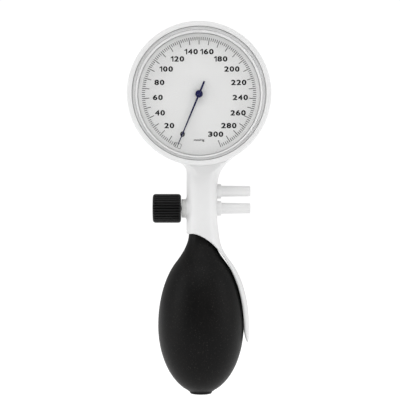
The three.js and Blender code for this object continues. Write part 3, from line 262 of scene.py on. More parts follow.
def net(field, low, high, cell):
    """Vertices and quads of the surface where field is 0: one vertex in each cell that it passes through."""
    counts = [int(math.ceil((h - l) / cell)) + 1 for l, h in zip(low, high)]
    axes = [l + cell * np.arange(n) for l, n in zip(low, counts)]
    values = field(axes[0][:, None, None], axes[1][None, :, None], axes[2][None, None, :])
    inside = values < 0
    corners = [(i, j, k) for i in (0, 1) for j in (0, 1) for k in (0, 1)]
    total = np.zeros([n - 1 for n in counts], np.int8)
    for i, j, k in corners:
        total += inside[i : counts[0] - 1 + i, j : counts[1] - 1 + j, k : counts[2] - 1 + k]
    active = (total > 0) & (total < 8)
    cells = np.argwhere(active)
    index = np.full(active.shape, -1)
    index[active] = np.arange(len(cells))
    place_sum, hits = np.zeros((len(cells), 3)), np.zeros(len(cells))
    for a in corners:
        for axis in range(3):
            if a[axis]:
                continue
            b = tuple(1 if n == axis else a[n] for n in range(3))
            va = values[tuple((cells + a).T)]
            vb = values[tuple((cells + b).T)]
            crossed = (va < 0) != (vb < 0)
            t = np.where(crossed, va / np.where(crossed, va - vb, 1), 0)
            point = np.array(a, float) + t[:, None] * (np.array(b) - np.array(a))
            place_sum += np.where(crossed[:, None], point, 0)
            hits += crossed
    vertices = np.array(low) + cell * (cells + place_sum / hits[:, None])
    quads = []
    for axis in range(3):
        u, v = (axis + 1) % 3, (axis + 2) % 3
        near = [slice(None)] * 3
        far = [slice(None)] * 3
        near[axis], far[axis] = slice(0, -1), slice(1, None)
        changed = np.argwhere(inside[tuple(near)] != inside[tuple(far)])
        step_u, step_v = np.zeros(3, int), np.zeros(3, int)
        step_u[u], step_v[v] = 1, 1
        ring = [changed, changed - step_u, changed - step_u - step_v, changed - step_v]
        quad = np.stack([index[tuple(r.T)] for r in ring], 1)
        outward = inside[tuple(changed.T)]
        quads.append(np.where(outward[:, None], quad, quad[:, ::-1]))
    return vertices, np.concatenate(quads)


def settle(field, vertices, limit, rounds=3, probe=0.02):
    """Moves each vertex onto the surface along the field's slope."""
    start = vertices.copy()
    for _ in range(rounds):
        value = field(*vertices.T)
        slope = np.stack(
            [
                (field(*(vertices + step).T) - field(*(vertices - step).T)) / (2 * probe)
                for step in np.eye(3) * probe
            ],
            1,
        )
        size = np.maximum((slope**2).sum(1), 0.05)
        vertices = vertices - slope * (value / size)[:, None]
        vertices = start + np.clip(vertices - start, -limit, limit)
    return vertices


# ---- The bulb's outline ----


def bulb_radius(z):
    """The bulb's outer radius at a height: two half ellipses, and a curve from the upper one to the neck."""
    z = np.asarray(z, float)
    lower = BULB_RADIUS * np.sqrt(np.clip(1 - (z / BULB_LOWER) ** 2, 0.02, 1))
    upper = BULB_RADIUS * np.sqrt(np.clip(1 - (z / BULB_UPPER) ** 2, 0.02, 1))
    start = BULB_RADIUS * math.sqrt(1 - (BULB_SHOULDER / BULB_UPPER) ** 2)
    slope = BULB_RADIUS**2 * BULB_SHOULDER / (BULB_UPPER**2 * start)
    corner = BULB_SHOULDER + (start - BULB_NECK) / slope
    a = BULB_SHOULDER - 2 * corner + STEM_FOOT
    b = 2 * (corner - BULB_SHOULDER)
    root = np.sqrt(np.maximum(b * b - 4 * a * (BULB_SHOULDER - z), 0))
    t = np.clip((root - b) / (2 * a), 0, 1)
    neck = BULB_NECK + (start - BULB_NECK) * (1 - t) ** 2
    return np.where(z < 0, lower, np.where(z < BULB_SHOULDER, upper, neck))


def bulb_distance(x, y, z, offset):
    """About the distance from the bulb's surface moved out by offset."""
    height = np.clip(z, -33, STEM_FOOT)
    steep = (bulb_radius(height + 0.1) - bulb_radius(height - 0.1)) / 0.2
    return (np.hypot(x - BULB_X, y) - bulb_radius(height) - offset) / np.sqrt(1 + steep**2)


# ---- The white body ----


def tube(r, radius, low, high, along):
    return np.maximum(r - radius, np.maximum(low - along, along - high))


def block(x, y, z, low, high):
    """A box's distance."""
    q = []
    for value, a, b in zip((x, y, z), low, high):
        q.append(np.abs(value - (a + b) / 2) - (b - a) / 2)
    outside = np.sqrt(sum(np.maximum(v, 0) ** 2 for v in q))
    return outside + np.minimum(np.maximum(np.maximum(q[0], q[1]), q[2]), 0)


def stem_field(x, y, z):
    """The stem: a rounded prism along Z, cut off above its foot and inside the head."""
    edge = np.where(y < (STEM_FRONT + STEM_BACK) / 2, STEM_FRONT_EDGE, STEM_BACK_EDGE)
    qx = np.abs(x - (STEM_LEFT + STEM_RIGHT) / 2) - (STEM_RIGHT - STEM_LEFT) / 2 + edge
    qy = np.abs(y - (STEM_FRONT + STEM_BACK) / 2) - (STEM_BACK - STEM_FRONT) / 2 + edge
    around = np.hypot(np.maximum(qx, 0), np.maximum(qy, 0))
    section = around + np.minimum(np.maximum(qx, qy), 0) - edge
    return np.maximum(section, np.maximum(STEM_FOOT - STEM_BELOW - z, z - HEAD_Z + STEM_SHORT))


def spoon_field(x, y, z):
    """The grip beside the bulb: a shell of even thickness, trimmed to a tongue."""
    lift = np.where(z < 0, (z / SPOON_TIP) ** 2, 0.0)
    sink = SPOON_SINK * np.clip((z - SINK_FROM) / SINK_LENGTH, 0, 1) ** 2
    outer = bulb_distance(x, y, z, SPOON_GAP + SPOON_THICKNESS + lift - sink)
    taper = STEM_FOOT / 2
    along = np.clip((taper - z) / (taper - SPOON_TIP), 0, 2)
    tongue = ((y / SPOON_HALF_WIDTH) ** 2 + along**TONGUE_POWER - 1) * SPOON_HALF_WIDTH / 2
    tongue = np.maximum(tongue, z - SINK_FROM - SINK_LENGTH)
    return smooth_max(smooth_max(outer, tongue, SPOON_ROUNDING), BULB_X - x, 1.0)


def tip_taper(z):
    """How much the grip's tip is thinned from inside."""
    return TIP_TAPER * np.clip((TIP_FROM - z) / (TIP_FROM - SPOON_TIP), 0, 1) ** 1.5


def front_edge(x, z):
    """How far a point lies outside the opening that the body leaves for the bulb, seen from the front.

    The edge is a quarter of a superellipse above EDGE_Z, and follows the bulb's outline below it.
    """
    reach = BULB_X + float(bulb_radius(EDGE_Z)) - SPOON_EDGE - EDGE_X
    rise = STEM_FOOT - EDGE_Z
    u = np.maximum(x - EDGE_X, 1e-6) / reach
    v = np.maximum(z - EDGE_Z, 1e-6) / rise
    size = (u**EDGE_POWER + v**EDGE_POWER) ** (1 / EDGE_POWER)
    slope_x = (u / size) ** (EDGE_POWER - 1) / reach
    slope_z = (v / size) ** (EDGE_POWER - 1) / rise
    curve = (size - 1) / np.hypot(slope_x, slope_z)
    outline = bulb_distance(x, 0.0, z, tip_taper(z) - SPOON_EDGE)
    outline = np.where(x < BULB_X, -20.0, outline)
    return np.where(z < EDGE_Z, outline, curve)


def body_field(x, y, z):
    """The white body: case, stem, grip and valve seat, less the rooms for what they hold."""
    r = np.hypot(x - HEAD_X, z - HEAD_Z)
    case = smooth_max(r - CASE_RADIUS, y - BODY_HIGH[1], CASE_BACK_ROUNDING)
    case = smooth_max(case, CASE_FRONT - y, CASE_FRONT_ROUNDING)
    right = np.clip((x - STEM_LEFT) / (STEM_RIGHT - STEM_LEFT), 0, 1)
    neck_blend = NECK_BLEND_LEFT + (NECK_BLEND_RIGHT - NECK_BLEND_LEFT) * right
    solid = smooth_min(case, stem_field(x, y, z), neck_blend)
    solid = smooth_max(solid, STEM_FRONT - FRONT_PROUD - y, FRONT_ROUNDING)
    solid = smooth_max(solid, y - BODY_HIGH[1], CASE_BACK_ROUNDING)
    solid = smooth_min(solid, spoon_field(x, y, z), SPOON_BLEND)
    valve = np.hypot(y, z - PORT_Z)
    seat = tube(valve, VALVE_COLLAR, STEM_LEFT - 0.1, 0, x)
    solid = smooth_min(solid, seat, SEAT_BLEND)
    room = np.minimum(bulb_distance(x, y, z, SPOON_GAP + tip_taper(z)), front_edge(x, z))
    room = np.where(z < STEM_FOOT, room, 5.0)
    solid = smooth_max(solid, -room, ROOM_ROUNDING)
    solid = np.minimum(solid, tube(r, RIM_RADIUS, BODY_LOW[1], 0, y))
    hollow = tube(r, WELL_RADIUS, BODY_LOW[1] - 2, LEDGE_FRONT, y)
    hollow = np.minimum(hollow, tube(r, LEDGE_RADIUS, LEDGE_FRONT - 1, LEDGE_BACK + 1, y))
    hollow = np.minimum(hollow, tube(r, CAVITY_RADIUS, LEDGE_BACK, COVER_LOW[1] + 1, y))
    hollow = np.minimum(hollow, tube(r, COVER_ROOM, COVER_LOW[1] - GAP, COVER_HIGH[1] + 5, y))
    solid = np.maximum(solid, -hollow)
    for centre in SCREWS:
        boss = np.hypot(x - centre[0], z - centre[2])
        solid = np.minimum(solid, tube(boss, BOSS_RADIUS, LEDGE_BACK - 0.5, COVER_LOW[1] - GAP, y))
        solid = np.maximum(solid, -tube(boss, SCREW_BORE, 0.0, BODY_HIGH[1] + 1, y))
    block_low = BLOCK_LOW - GAP
    block_high = np.array([BLOCK_HIGH[0] + GAP, STEM_BACK + 3, BLOCK_HIGH[2] + 1])
    solid = np.maximum(solid, -block(x, y, z, block_low, block_high))
    lid_front = STEM_COVER_HIGH[1] - LID_THICKNESS - GAP
    lid_low = np.array([STEM_COVER_LOW[0] - GAP, lid_front, STEM_COVER_LOW[2] - GAP])
    lid_high = np.array([STEM_COVER_HIGH[0] + GAP, STEM_BACK + 3, STEM_COVER_HIGH[2] + GAP])
    solid = np.maximum(solid, -block(x, y, z, lid_low, lid_high))
    hose = np.hypot(x - BULB_X, y - HOSE_Y)
    hose_room = tube(hose, HOSE_ROOM, BLOCK_HIGH[2] - 2, HEAD_Z - CAVITY_RADIUS + 4, z)
    solid = np.maximum(solid, -hose_room)
    socket = np.hypot(x - BULB_X, y)
    solid = np.maximum(solid, -tube(socket, SOCKET_RADIUS, STEM_FOOT - 4, BLOCK_LOW[2] - 1.9, z))
    solid = np.maximum(solid, -tube(socket, RISER_BORE, STEM_FOOT, BLOCK_LOW[2] + 1, z))
    solid = np.maximum(solid, -tube(valve, VALVE_BORE, STEM_LEFT - 4, 0.0, x))
    for spigot in ("upper_spigot", "lower_spigot"):
        low, high = node_box(spigot)
        port = np.hypot(y, z - (low[2] + high[2]) / 2)
        solid = np.maximum(solid, -tube(port, SPIGOT_BORE, 2.0, STEM_RIGHT + 5, x))
    return solid


def make_body(material):
    cell = 0.53
    margin = 1.5
    vertices, quads = net(body_field, BODY_LOW - margin, BODY_HIGH + margin, cell)
    vertices = settle(body_field, vertices, cell)
    return place("body_shell", vertices, quads.tolist(), "housing", material, ["body"], 35)


# ---- Materials ----


def new_material(name, **sockets):
    """A node material with one Principled shader. Constant values go straight onto its sockets."""
    material = bpy.data.materials.new(name)
    material.use_nodes = True
    shader = material.node_tree.nodes["Principled BSDF"]
    for socket, value in sockets.items():
        shader.inputs[socket.replace("_", " ")].default_value = value
    return material, material.node_tree, shader


def noise(tree, scale, detail=3.0, roughness=0.55, distortion=0.0):
    coordinates = tree.nodes.new("ShaderNodeTexCoord")
    texture = tree.nodes.new("ShaderNodeTexNoise")
    texture.inputs["Scale"].default_value = scale
    texture.inputs["Detail"].default_value = detail
    texture.inputs["Roughness"].default_value = roughness
    texture.inputs["Distortion"].default_value = distortion
    tree.links.new(coordinates.outputs["Object"], texture.inputs["Vector"])
    return texture.outputs["Fac"]


def ramp(tree, source, stops):
    node = tree.nodes.new("ShaderNodeValToRGB")
    while len(node.color_ramp.elements) < len(stops):
        node.color_ramp.elements.new(0.999)
    for element, (position, color) in zip(node.color_ramp.elements, stops):
        element.position = position
        element.color = (*color, 1.0)
    tree.links.new(source, node.inputs["Fac"])
    return node.outputs["Color"]


def remap(tree, source, low, high):
    node = tree.nodes.new("ShaderNodeMapRange")
    node.inputs["From Min"].default_value = 0.3
    node.inputs["From Max"].default_value = 0.7
    node.inputs["To Min"].default_value = low
    node.inputs["To Max"].default_value = high
    tree.links.new(source, node.inputs["Value"])
    return node.outputs["Result"]


def bump(tree, shader, source, distance):
    node = tree.nodes.new("ShaderNodeBump")
    node.inputs["Distance"].default_value = distance
    node.inputs["Strength"].default_value = 1.0
    tree.links.new(source, node.inputs["Height"])
    tree.links.new(node.outputs["Normal"], shader.inputs["Normal"])


def grey(level):
    return (level, level, level)


def surface(name, dark, light, rough, scale, grain, depth, **sockets):
    """Two shades and a roughness range mottled at one scale, with a fine grain of a given depth in metres."""
    material, tree, shader = new_material(name, **sockets)
    mottle = noise(tree, scale)
    tree.links.new(ramp(tree, mottle, [(0.3, dark), (0.7, light)]), shader.inputs["Base Color"])
    tree.links.new(remap(tree, mottle, *rough), shader.inputs["Roughness"])
    bump(tree, shader, noise(tree, grain, 2.0), depth)
    return material


def white_plastic():
    shades = grey(0.685), grey(0.71)
    return surface("white_plastic", *shades, (0.3, 0.4), 60, 1400, 0.000006, Specular_IOR_Level=0.45)


def grey_plastic():
    return surface("grey_plastic", (0.55, 0.55, 0.54), (0.60, 0.60, 0.59), (0.4, 0.5), 90, 1500, 0.000006)


# Dark grey: painted shade for the dark line in the groove between the bezel and the lens.
def groove_plastic():
    return surface("groove_plastic", grey(0.22), grey(0.27), (0.5, 0.6), 90, 1500, 0.000004)


def rubber():
    """Matt black rubber: brownish bloom in soft patches, and a fine grain with pale specks."""
    material, tree, shader = new_material("bulb_rubber", Specular_IOR_Level=0.12)
    patches = noise(tree, 55, 4.0, 0.6, 0.4)
    specks = noise(tree, 1500, 1.0)
    bloom = [
        (0.32, (0.0008, 0.0008, 0.0009)),
        (0.5, (0.0014, 0.0013, 0.0013)),
        (0.72, (0.0032, 0.0028, 0.0026)),
    ]
    base = ramp(tree, patches, bloom)
    dust = ramp(tree, specks, [(0.63, (0.0, 0.0, 0.0)), (0.74, (0.017, 0.016, 0.014))])
    mix = tree.nodes.new("ShaderNodeMix")
    mix.data_type = "RGBA"
    mix.blend_type = "ADD"
    mix.inputs["Factor"].default_value = 1.0
    tree.links.new(base, mix.inputs["A"])
    tree.links.new(dust, mix.inputs["B"])
    tree.links.new(mix.outputs["Result"], shader.inputs["Base Color"])
    tree.links.new(remap(tree, patches, 0.4, 0.52), shader.inputs["Roughness"])
    bump(tree, shader, noise(tree, 1500, 3.0, 0.7), 0.00003)
    return material


def black_plastic():
    shades = (0.0012, 0.0012, 0.0013), (0.0022, 0.0021, 0.0022)
    return surface("black_plastic", *shades, (0.3, 0.42), 120, 1800, 0.000012, Specular_IOR_Level=0.2)


def navy_paint():
    shades = (0.004, 0.004, 0.042), (0.006, 0.006, 0.055)
    return surface("navy_paint", *shades, (0.45, 0.55), 300, 3000, 0.000002, Specular_IOR_Level=0.1)


def print_ink():
    shades = grey(0.003), grey(0.006)
    return surface("print_ink", *shades, (0.55, 0.7), 400, 4000, 0.000001, Specular_IOR_Level=0.1)


def tick_ink():
    shades = (0.010, 0.009, 0.008), (0.016, 0.015, 0.014)
    return surface("tick_ink", *shades, (0.55, 0.7), 400, 4000, 0.000001, Specular_IOR_Level=0.1)


# White ABS painted lighter than the body's white: painted light that offsets the shade in the deep well round
# the dial.
def ring_plastic():
    return surface("ring_plastic", grey(0.80), grey(0.83), (0.4, 0.5), 80, 1400, 0.000004)


def dial_paint():
    return surface("dial_paint", (0.70, 0.70, 0.695), (0.72, 0.72, 0.715), (0.5, 0.6), 80, 2500, 0.000002)


def metal(name, dark, light, rough):
    return surface(name, dark, light, rough, 250, 2500, 0.000003, Metallic=1.0)


def seal_rubber():
    return surface("seal_rubber", grey(0.03), grey(0.05), (0.7, 0.9), 200, 2500, 0.00001)


def silicone():
    return surface("silicone", grey(0.80), grey(0.84), (0.45, 0.6), 150, 2000, 0.000005)


def clear_plastic(name, alpha, shade):
    """Clear acrylic: mostly see-through, with a plain alpha."""
    return surface(name, shade, shade, (0.04, 0.09), 30, 900, 0.000001, Alpha=alpha)


WHITE = white_plastic()
GREY = grey_plastic()
GROOVE_SHADE = groove_plastic()
BLACK = black_plastic()
RUBBER = rubber()
NAVY = navy_paint()
INK = print_ink()
TICK_INK = tick_ink()
DIAL_PAINT = dial_paint()
SURROUND_LIT_WHITE = ring_plastic()
SEAL = seal_rubber()
SILICONE = silicone()
STEEL = metal("turned_steel", (0.48, 0.48, 0.49), (0.6, 0.6, 0.61), (0.25, 0.4))
BRASS = metal("plate_brass", (0.52, 0.38, 0.16), (0.64, 0.48, 0.22), (0.28, 0.42))
BRONZE = metal("sheet_bronze", (0.46, 0.28, 0.14), (0.58, 0.38, 0.2), (0.3, 0.45))
LENS_CLEAR = clear_plastic("lens_clear", 0.02, (0.25, 0.26, 0.27))

make_body(WHITE)


# ---- Bezel, lens and dial ----


def head_ring(name, profile, slot, material, nodes=(), **options):
    """A piece turned round the dial's axis. The profile's places are depths along Y."""
    return turned(name, profile, "y", (HEAD_X, 0, HEAD_Z), "housing", slot, material, nodes, **options)


def make_bezel():
    front, back = BEZEL_LOW[1], BEZEL_HIGH[1]
    skirt = RIM_RADIUS + GAP
    window = 35.3
    profile = [
        (skirt, back),
        (BEZEL_RADIUS, back, 0.3),
        (BEZEL_RADIUS, front + 0.9, 0.5),
        (BEZEL_RADIUS - 0.6, front, 0.5),
        (window + 0.7, front, 0.5),
        (window, front + 0.7, 0.3),
        (window, front + 1.4),
        (skirt, front + 1.4),
    ]
    head_ring("bezel", profile, "white_abs", WHITE, ["bezel_ring"], segments=192)


def make_lens():
    front = LENS_LOW[1]
    raised = 35.0
    edge = RIM_RADIUS
    profile = [
        (0, front),
        (raised - 0.7, front, 0.8),
        (raised, front + 0.7, 0.4),
        (raised, front + 1.3),
        (edge, front + 1.3),
        (edge, LENS_HIGH[1]),
        (WELL_RADIUS, LENS_HIGH[1]),
        (WELL_RADIUS, front + 1.7, 0.3),
        (0, front + 1.7),
    ]
    head_ring("lens_window", profile, "clear_lens", LENS_CLEAR, ["lens"], segments=192)


def make_groove_ring():
    """A narrow dark grey ring on the floor of the groove between the bezel and the lens: painted shade for
    the groove's dark line.
    """
    front = LENS_LOW[1]
    inner, outer = 34.95, 35.35
    near, far = front + 0.75, front + 1.25
    profile = [(inner, near), (outer, near), (outer, far), (inner, far)]
    head_ring("groove_shade_ring", profile, "grey_plastic", GROOVE_SHADE, segments=192, radius=0.04)


def make_surround():
    low, high = node_box("dial_surround")
    outer = WELL_RADIUS - 0.08
    profile = [
        (outer - 0.6, low[1], 0.2),
        (outer, low[1], 0.2),
        (outer, high[1]),
        (DIAL_RADIUS + 0.2, high[1], 0.15),
    ]
    # The surround takes the lighter white: painted light against the shade in the well.
    head_ring("surround", profile, "white_abs", SURROUND_LIT_WHITE, ["dial_surround"], segments=192)


def make_dial():
    bore = 1.7
    profile = [(bore, DIAL_FACE), (DIAL_RADIUS, DIAL_FACE), (DIAL_RADIUS, DIAL_HIGH[1]), (bore, DIAL_HIGH[1])]
    head_ring("dial_face", profile, "dial_print", DIAL_PAINT, ["dial_plate"], segments=192, radius=0.1)


SCALE_SWEEP = 315.0
SCALE_TOP = 300
INK_DEPTH = 0.03
FIGURE_HEIGHT = 2.85
FIGURE_WIDTH = 2.45
FIGURE_ONE_WIDTH = 1.45
FIGURE_GAP = 0.38
UNIT_HEIGHT = 1.6


def scale_angle(pressure):
    """The angle of a pressure on the dial, clockwise from straight up, in radians."""
    return math.radians(-SCALE_SWEEP / 2 + SCALE_SWEEP * pressure / SCALE_TOP)


def on_dial(radius, angle):
    """A point of the dial's face as X and Z."""
    return HEAD_X + radius * math.sin(angle), HEAD_Z + radius * math.cos(angle)


def flat_bars(bars):
    """Thin printed bars: each is (centre x, centre z, half width, half height, clockwise turn)."""
    vertices, faces = [], []
    for x, z, half_width, half_height, turn in bars:
        base = len(vertices)
        for depth in (DIAL_FACE + 0.005, DIAL_FACE - INK_DEPTH):
            for u, v in ((-1, -1), (1, -1), (1, 1), (-1, 1)):
                dx, dz = u * half_width, v * half_height
                px = x + dx * math.cos(turn) + dz * math.sin(turn)
                pz = z - dx * math.sin(turn) + dz * math.cos(turn)
                vertices.append((px, depth, pz))
        a, b = base, base + 4
        faces += [[a, a + 3, a + 2, a + 1], [b, b + 1, b + 2, b + 3]]
        faces += [[a + i, a + (i + 1) % 4, b + (i + 1) % 4, b + i] for i in range(4)]
    return vertices, faces


def make_ticks():
    outer = 30.3
    bars = []
    for pressure in range(0, SCALE_TOP + 1, 2):
        major = pressure % 10 == 0
        inner = 26.4 if major else 28.6
        half = 0.17 if major else 0.16
        angle = scale_angle(pressure)
        x, z = on_dial((inner + outer) / 2, angle)
        bars.append((x, z, half, (outer - inner) / 2, angle))
    vertices, faces = flat_bars(bars)
    place("scale_ticks", vertices, faces, "housing", TICK_INK)


def make_zero_box():
    """The small frame round the zero mark."""
    angle = scale_angle(0)
    half_width, half_height, line = 1.75, 1.2, 0.09
    bars = []
    for side in (-1, 1):
        x, z = on_dial(29.4 + side * half_height, angle)
        bars.append((x, z, half_width + line, line, angle))
        x, z = on_dial(29.4, angle)
        x += side * half_width * math.cos(angle)
        z -= side * half_width * math.sin(angle)
        bars.append((x, z, line, half_height - line, angle))
    vertices, faces = flat_bars(bars)
    place("zero_mark", vertices, faces, "housing", TICK_INK)


def text_mesh(text, height, stretch, weight):
    """Printed characters as vertices and faces, centred on the origin, X right and Y up.

    weight thickens their strokes.
    """
    curve = bpy.data.curves.new("text", "FONT")
    curve.body = text
    curve.size = 1.0
    curve.resolution_u = 6
    curve.extrude = 0.5
    holder = bpy.data.objects.new("text", curve)
    bpy.context.scene.collection.objects.link(holder)
    bpy.context.view_layer.update()
    mesh = bpy.data.meshes.new_from_object(holder)
    form = bmesh.new()
    form.from_mesh(mesh)
    bmesh.ops.remove_doubles(form, verts=form.verts, dist=1e-4)
    points = np.array([v.co for v in form.verts], float)
    outward = np.zeros_like(points)
    for face in form.faces:
        if abs(face.normal.z) < 0.5:
            for vertex in face.verts:
                outward[vertex.index] += face.normal
    faces = [[v.index for v in face.verts] for face in form.faces]
    form.free()
    bpy.data.objects.remove(holder)
    bpy.data.curves.remove(curve)
    bpy.data.meshes.remove(mesh)
    points += weight * outward / np.maximum(np.linalg.norm(outward, axis=1), 1e-6)[:, None]
    low, high = points.min(0), points.max(0)
    points -= (low + high) / 2
    scale = height / (high[1] - low[1])
    points[:, 0] *= scale * stretch
    points[:, 1] *= scale
    points[:, 2] *= INK_DEPTH / (high[2] - low[2])
    return points, faces


def figure_one():
    """The figure 1 as an outline: a bar with a sloping flag. Its height is 1."""
    outline = [(0.30, 0), (0.52, 0), (0.52, 1), (0.34, 1), (0.0, 0.80), (0.0, 0.60), (0.30, 0.74)]
    points = [(x - 0.26, y - 0.5, side * INK_DEPTH / 2) for side in (-1, 1) for x, y in outline]
    count = len(outline)
    faces = [list(range(count))[::-1], [i + count for i in range(count)]]
    faces += [[i, (i + 1) % count, (i + 1) % count + count, i + count] for i in range(count)]
    return np.array(points), faces


def make_numbers():
    vertices, faces = [], []
    depth = DIAL_FACE - INK_DEPTH / 2 + 0.004
    glyphs = {digit: text_mesh(digit, 1.0, 1.0, 0.045) for digit in "023468"}
    glyphs["1"] = figure_one()

    def add(points, polygons, x, z, scale_x, scale_z):
        base = len(vertices)
        vertices.extend((x + u * scale_x, depth - w, z + v * scale_z) for u, v, w in points)
        faces.extend([i + base for i in polygon] for polygon in polygons)

    for pressure in range(0, SCALE_TOP + 1, 20):
        text = str(pressure)
        wide = abs(pressure - SCALE_TOP / 2) > 95 or abs(pressure - SCALE_TOP / 2) < 20
        x, z = on_dial(22.9 if wide else 21.9, scale_angle(pressure))
        widths = [FIGURE_ONE_WIDTH if digit == "1" else FIGURE_WIDTH for digit in text]
        x -= (sum(widths) + FIGURE_GAP * (len(text) - 1)) / 2
        for digit, width in zip(text, widths):
            points, polygons = glyphs[digit]
            span = points[:, 0].max() - points[:, 0].min()
            add(points, polygons, x + width / 2, z, width / span, FIGURE_HEIGHT)
            x += width + FIGURE_GAP
    points, polygons = text_mesh("mmHg", 1.0, 1.25, 0.03)
    add(points, polygons, HEAD_X, HEAD_Z - 24.4, UNIT_HEIGHT, UNIT_HEIGHT)
    place("scale_numbers", vertices, faces, "housing", INK, smooth=30)


make_bezel()
make_lens()
make_groove_ring()
make_surround()
make_dial()
make_ticks()
make_zero_box()
make_numbers()


# ---- Pointer ----


def make_pointer():
    low, high = node_box("pointer")
    front, back = low[1], high[1]
    angle = scale_angle(0)
    outline = [(28.7, 0.22), (20.0, 0.32), (6.0, 0.46), (0.0, 0.5), (-7.3, 0.5)]
    ring = [(r, -h) for r, h in outline] + [(r, h) for r, h in reversed(outline)]
    vertices, faces = [], []
    layers = [(back, 1.0), (front + 0.1, 1.0), (front, 0.7)]
    for depth, share in layers:
        for radius, half in ring:
            x = HEAD_X + radius * math.sin(angle) + half * share * math.cos(angle)
            z = HEAD_Z + radius * math.cos(angle) - half * share * math.sin(angle)
            vertices.append((x, depth, z))
    count = len(ring)
    for layer in range(len(layers) - 1):
        a, b = layer * count, (layer + 1) * count
        faces += [[a + i, a + (i + 1) % count, b + (i + 1) % count, b + i] for i in range(count)]
    faces.append(list(range(count))[::-1])
    faces.append([2 * count + i for i in range(count)])
    place("pointer_hand", vertices, faces, "pointer_arbor", NAVY, ["pointer"], 30)


def make_pointer_cap():
    front = node_box("pointer_cap")[0][1]
    back = DIAL_FACE - 1.1
    radius = 2.0
    profile = [(0, front), (radius, front, 0.5), (radius, back, 0.1), (0, back)]
    centre = (HEAD_X, 0, HEAD_Z)
    nodes = ["pointer_cap"]
    turned(
        "pointer_hub", profile, "y", centre, "pointer_arbor", "navy_pointer", NAVY, nodes, segments=64
    )


make_pointer()
make_pointer_cap()


# ---- Release valve and spigots ----

KNOB_FLUTES = 32
FLUTE_DEPTH = 0.6


def make_knob():
    """A knob along X with rounded flutes that run out over its rounded ends."""
    low, high = KNOB_LOW, KNOB_HIGH
    radius = (high[2] - low[2]) / 2
    edge = 1.5
    dish, dish_edge, dish_depth = 2.6, 3.2, 0.35
    bore, bore_depth = 1.65, 8.7
    profile = [(0.0, low[0] + dish_depth), (dish, low[0] + dish_depth), (dish_edge, low[0])]
    profile += [
        (radius - edge + edge * math.sin(a), low[0] + edge - edge * math.cos(a))
        for a in np.linspace(0, math.pi / 2, 9)
    ]
    middle = np.linspace(low[0] + edge, high[0] - edge, 10)[1:-1]
    profile += [(radius, along) for along in middle]
    profile += [
        (radius - edge + edge * math.cos(a), high[0] - edge + edge * math.sin(a))
        for a in np.linspace(0, math.pi / 2, 9)
    ]
    profile += [(bore, high[0]), (bore, high[0] - bore_depth), (0.0, high[0] - bore_depth)]
    segments = KNOB_FLUTES * 12
    vertices, faces = revolve(profile, "x", (0, 0, PORT_Z), segments)
    vertices = np.array(vertices)
    y, z = vertices[:, 1], vertices[:, 2] - PORT_Z
    r = np.hypot(y, z)
    wave = 0.5 + 0.5 * np.cos(KNOB_FLUTES * np.arctan2(z, y))
    reach = np.clip((r - (radius - edge * 0.95)) / (edge * 0.6), 0, 1)
    deep = FLUTE_DEPTH * reach * wave**2.2
    share = np.where(r > 1e-6, (r - deep) / np.maximum(r, 1e-6), 1)
    vertices[:, 1] = y * share
    vertices[:, 2] = PORT_Z + z * share
    place("knob", vertices, faces, "knob", BLACK, ["valve_knob"], 50)


def make_collar():
    """The release valve's housing. Its collar runs a little way into the seat on the stem."""
    low, high = VALVE_LOW, VALVE_HIGH
    inner = STEM_LEFT + 0.5
    collar = VALVE_COLLAR - 0.05
    shank = 3.2
    bore = 1.68
    port = 0.6
    seat, seat_edge = 1.1, high[0] - 2.4
    profile = [
        (bore, low[0]),
        (collar, low[0], 0.5),
        (collar, inner),
        (shank, inner),
        (shank, high[0]),
        (port, high[0]),
        (port, high[0] - 1.6),
        (seat, seat_edge),
        (bore, seat_edge),
    ]
    centre = (0, 0, PORT_Z)
    nodes = ["valve_housing"]
    turned("valve_collar", profile, "x", centre, "housing", "grey_plastic", GREY, nodes, radius=0.1)


def make_spigot(node):
    """A hose spigot along X: a shank into the block, a collar on the stem and a slightly tapered tube."""
    low, high = node_box(node)
    centre = (0, 0, (low[2] + high[2]) / 2)
    collar = (high[2] - low[2]) / 2
    collar_length = 1.8
    bore, shank = 1.2, 2.2
    root, tip = 3.02, 2.76
    foot = STEM_RIGHT - 2.0
    tube_start = STEM_RIGHT + GAP + collar_length
    profile = [
        (bore, low[0]),
        (shank, low[0]),
        (shank, foot),
        (collar, foot),
        (collar, tube_start, 0.5),
        (root, tube_start, 0.2),
        (tip, high[0], 0.35),
        (bore, high[0], 0.25),
    ]
    turned(f"{node}_barb", profile, "x", centre, "housing", "white_abs", WHITE, [node], radius=0.08)


make_knob()
make_collar()
for spigot in ("upper_spigot", "lower_spigot"):
    make_spigot(spigot)


# ---- Bulb ----


def make_bulb():
    top = BULB_HIGH[2]
    neck = STEM_FOOT - GAP
    outer = [(float(bulb_radius(z)), z) for z in np.linspace(BULB_END + 0.5, neck, 110)]
    inner = [(float(bulb_radius(z)) - BULB_WALL, z) for z in np.linspace(STEM_FOOT - 8, BULB_END + 5, 60)]
    profile = [(END_BORE, BULB_END), (outer[0][0] - 0.5, BULB_END)] + outer
    profile += [(BULB_TAIL, neck), (BULB_TAIL, top), (NECK_BORE, top), (NECK_BORE, STEM_FOOT - 6)]
    profile += inner + [(END_BORE, BULB_END + 4)]
    vertices, faces = revolve(profile, "z", (BULB_X, 0, 0), 192)
    place("bulb_rubber", vertices, faces, "housing", RUBBER, ["bulb"], 40)


def make_end_valve():
    low, high = node_box("inlet_valve_body")
    foot = low[2]
    radius = (high[0] - low[0]) / 2
    rim = foot + 1.1
    seat = high[2] - 4.2
    port, filter_room, disc_room, plug = 1.4, 3.1, 2.9, 4.0
    profile = [
        (port, seat - 2),
        (filter_room, seat - 2),
        (filter_room, foot),
        (radius - 0.5, foot, 0.35),
        (radius, rim, 0.3),
        (plug, rim),
        (plug, high[2]),
        (disc_room, high[2]),
        (disc_room, seat),
        (port, seat),
    ]
    centre = (BULB_X, 0, 0)
    nodes = ["inlet_valve_body"]
    turned("end_valve", profile, "z", centre, "housing", "black_plastic", BLACK, nodes, radius=0.1)


make_bulb()
make_end_valve()


# ---- Materials of the carried-over CAD nodes ----

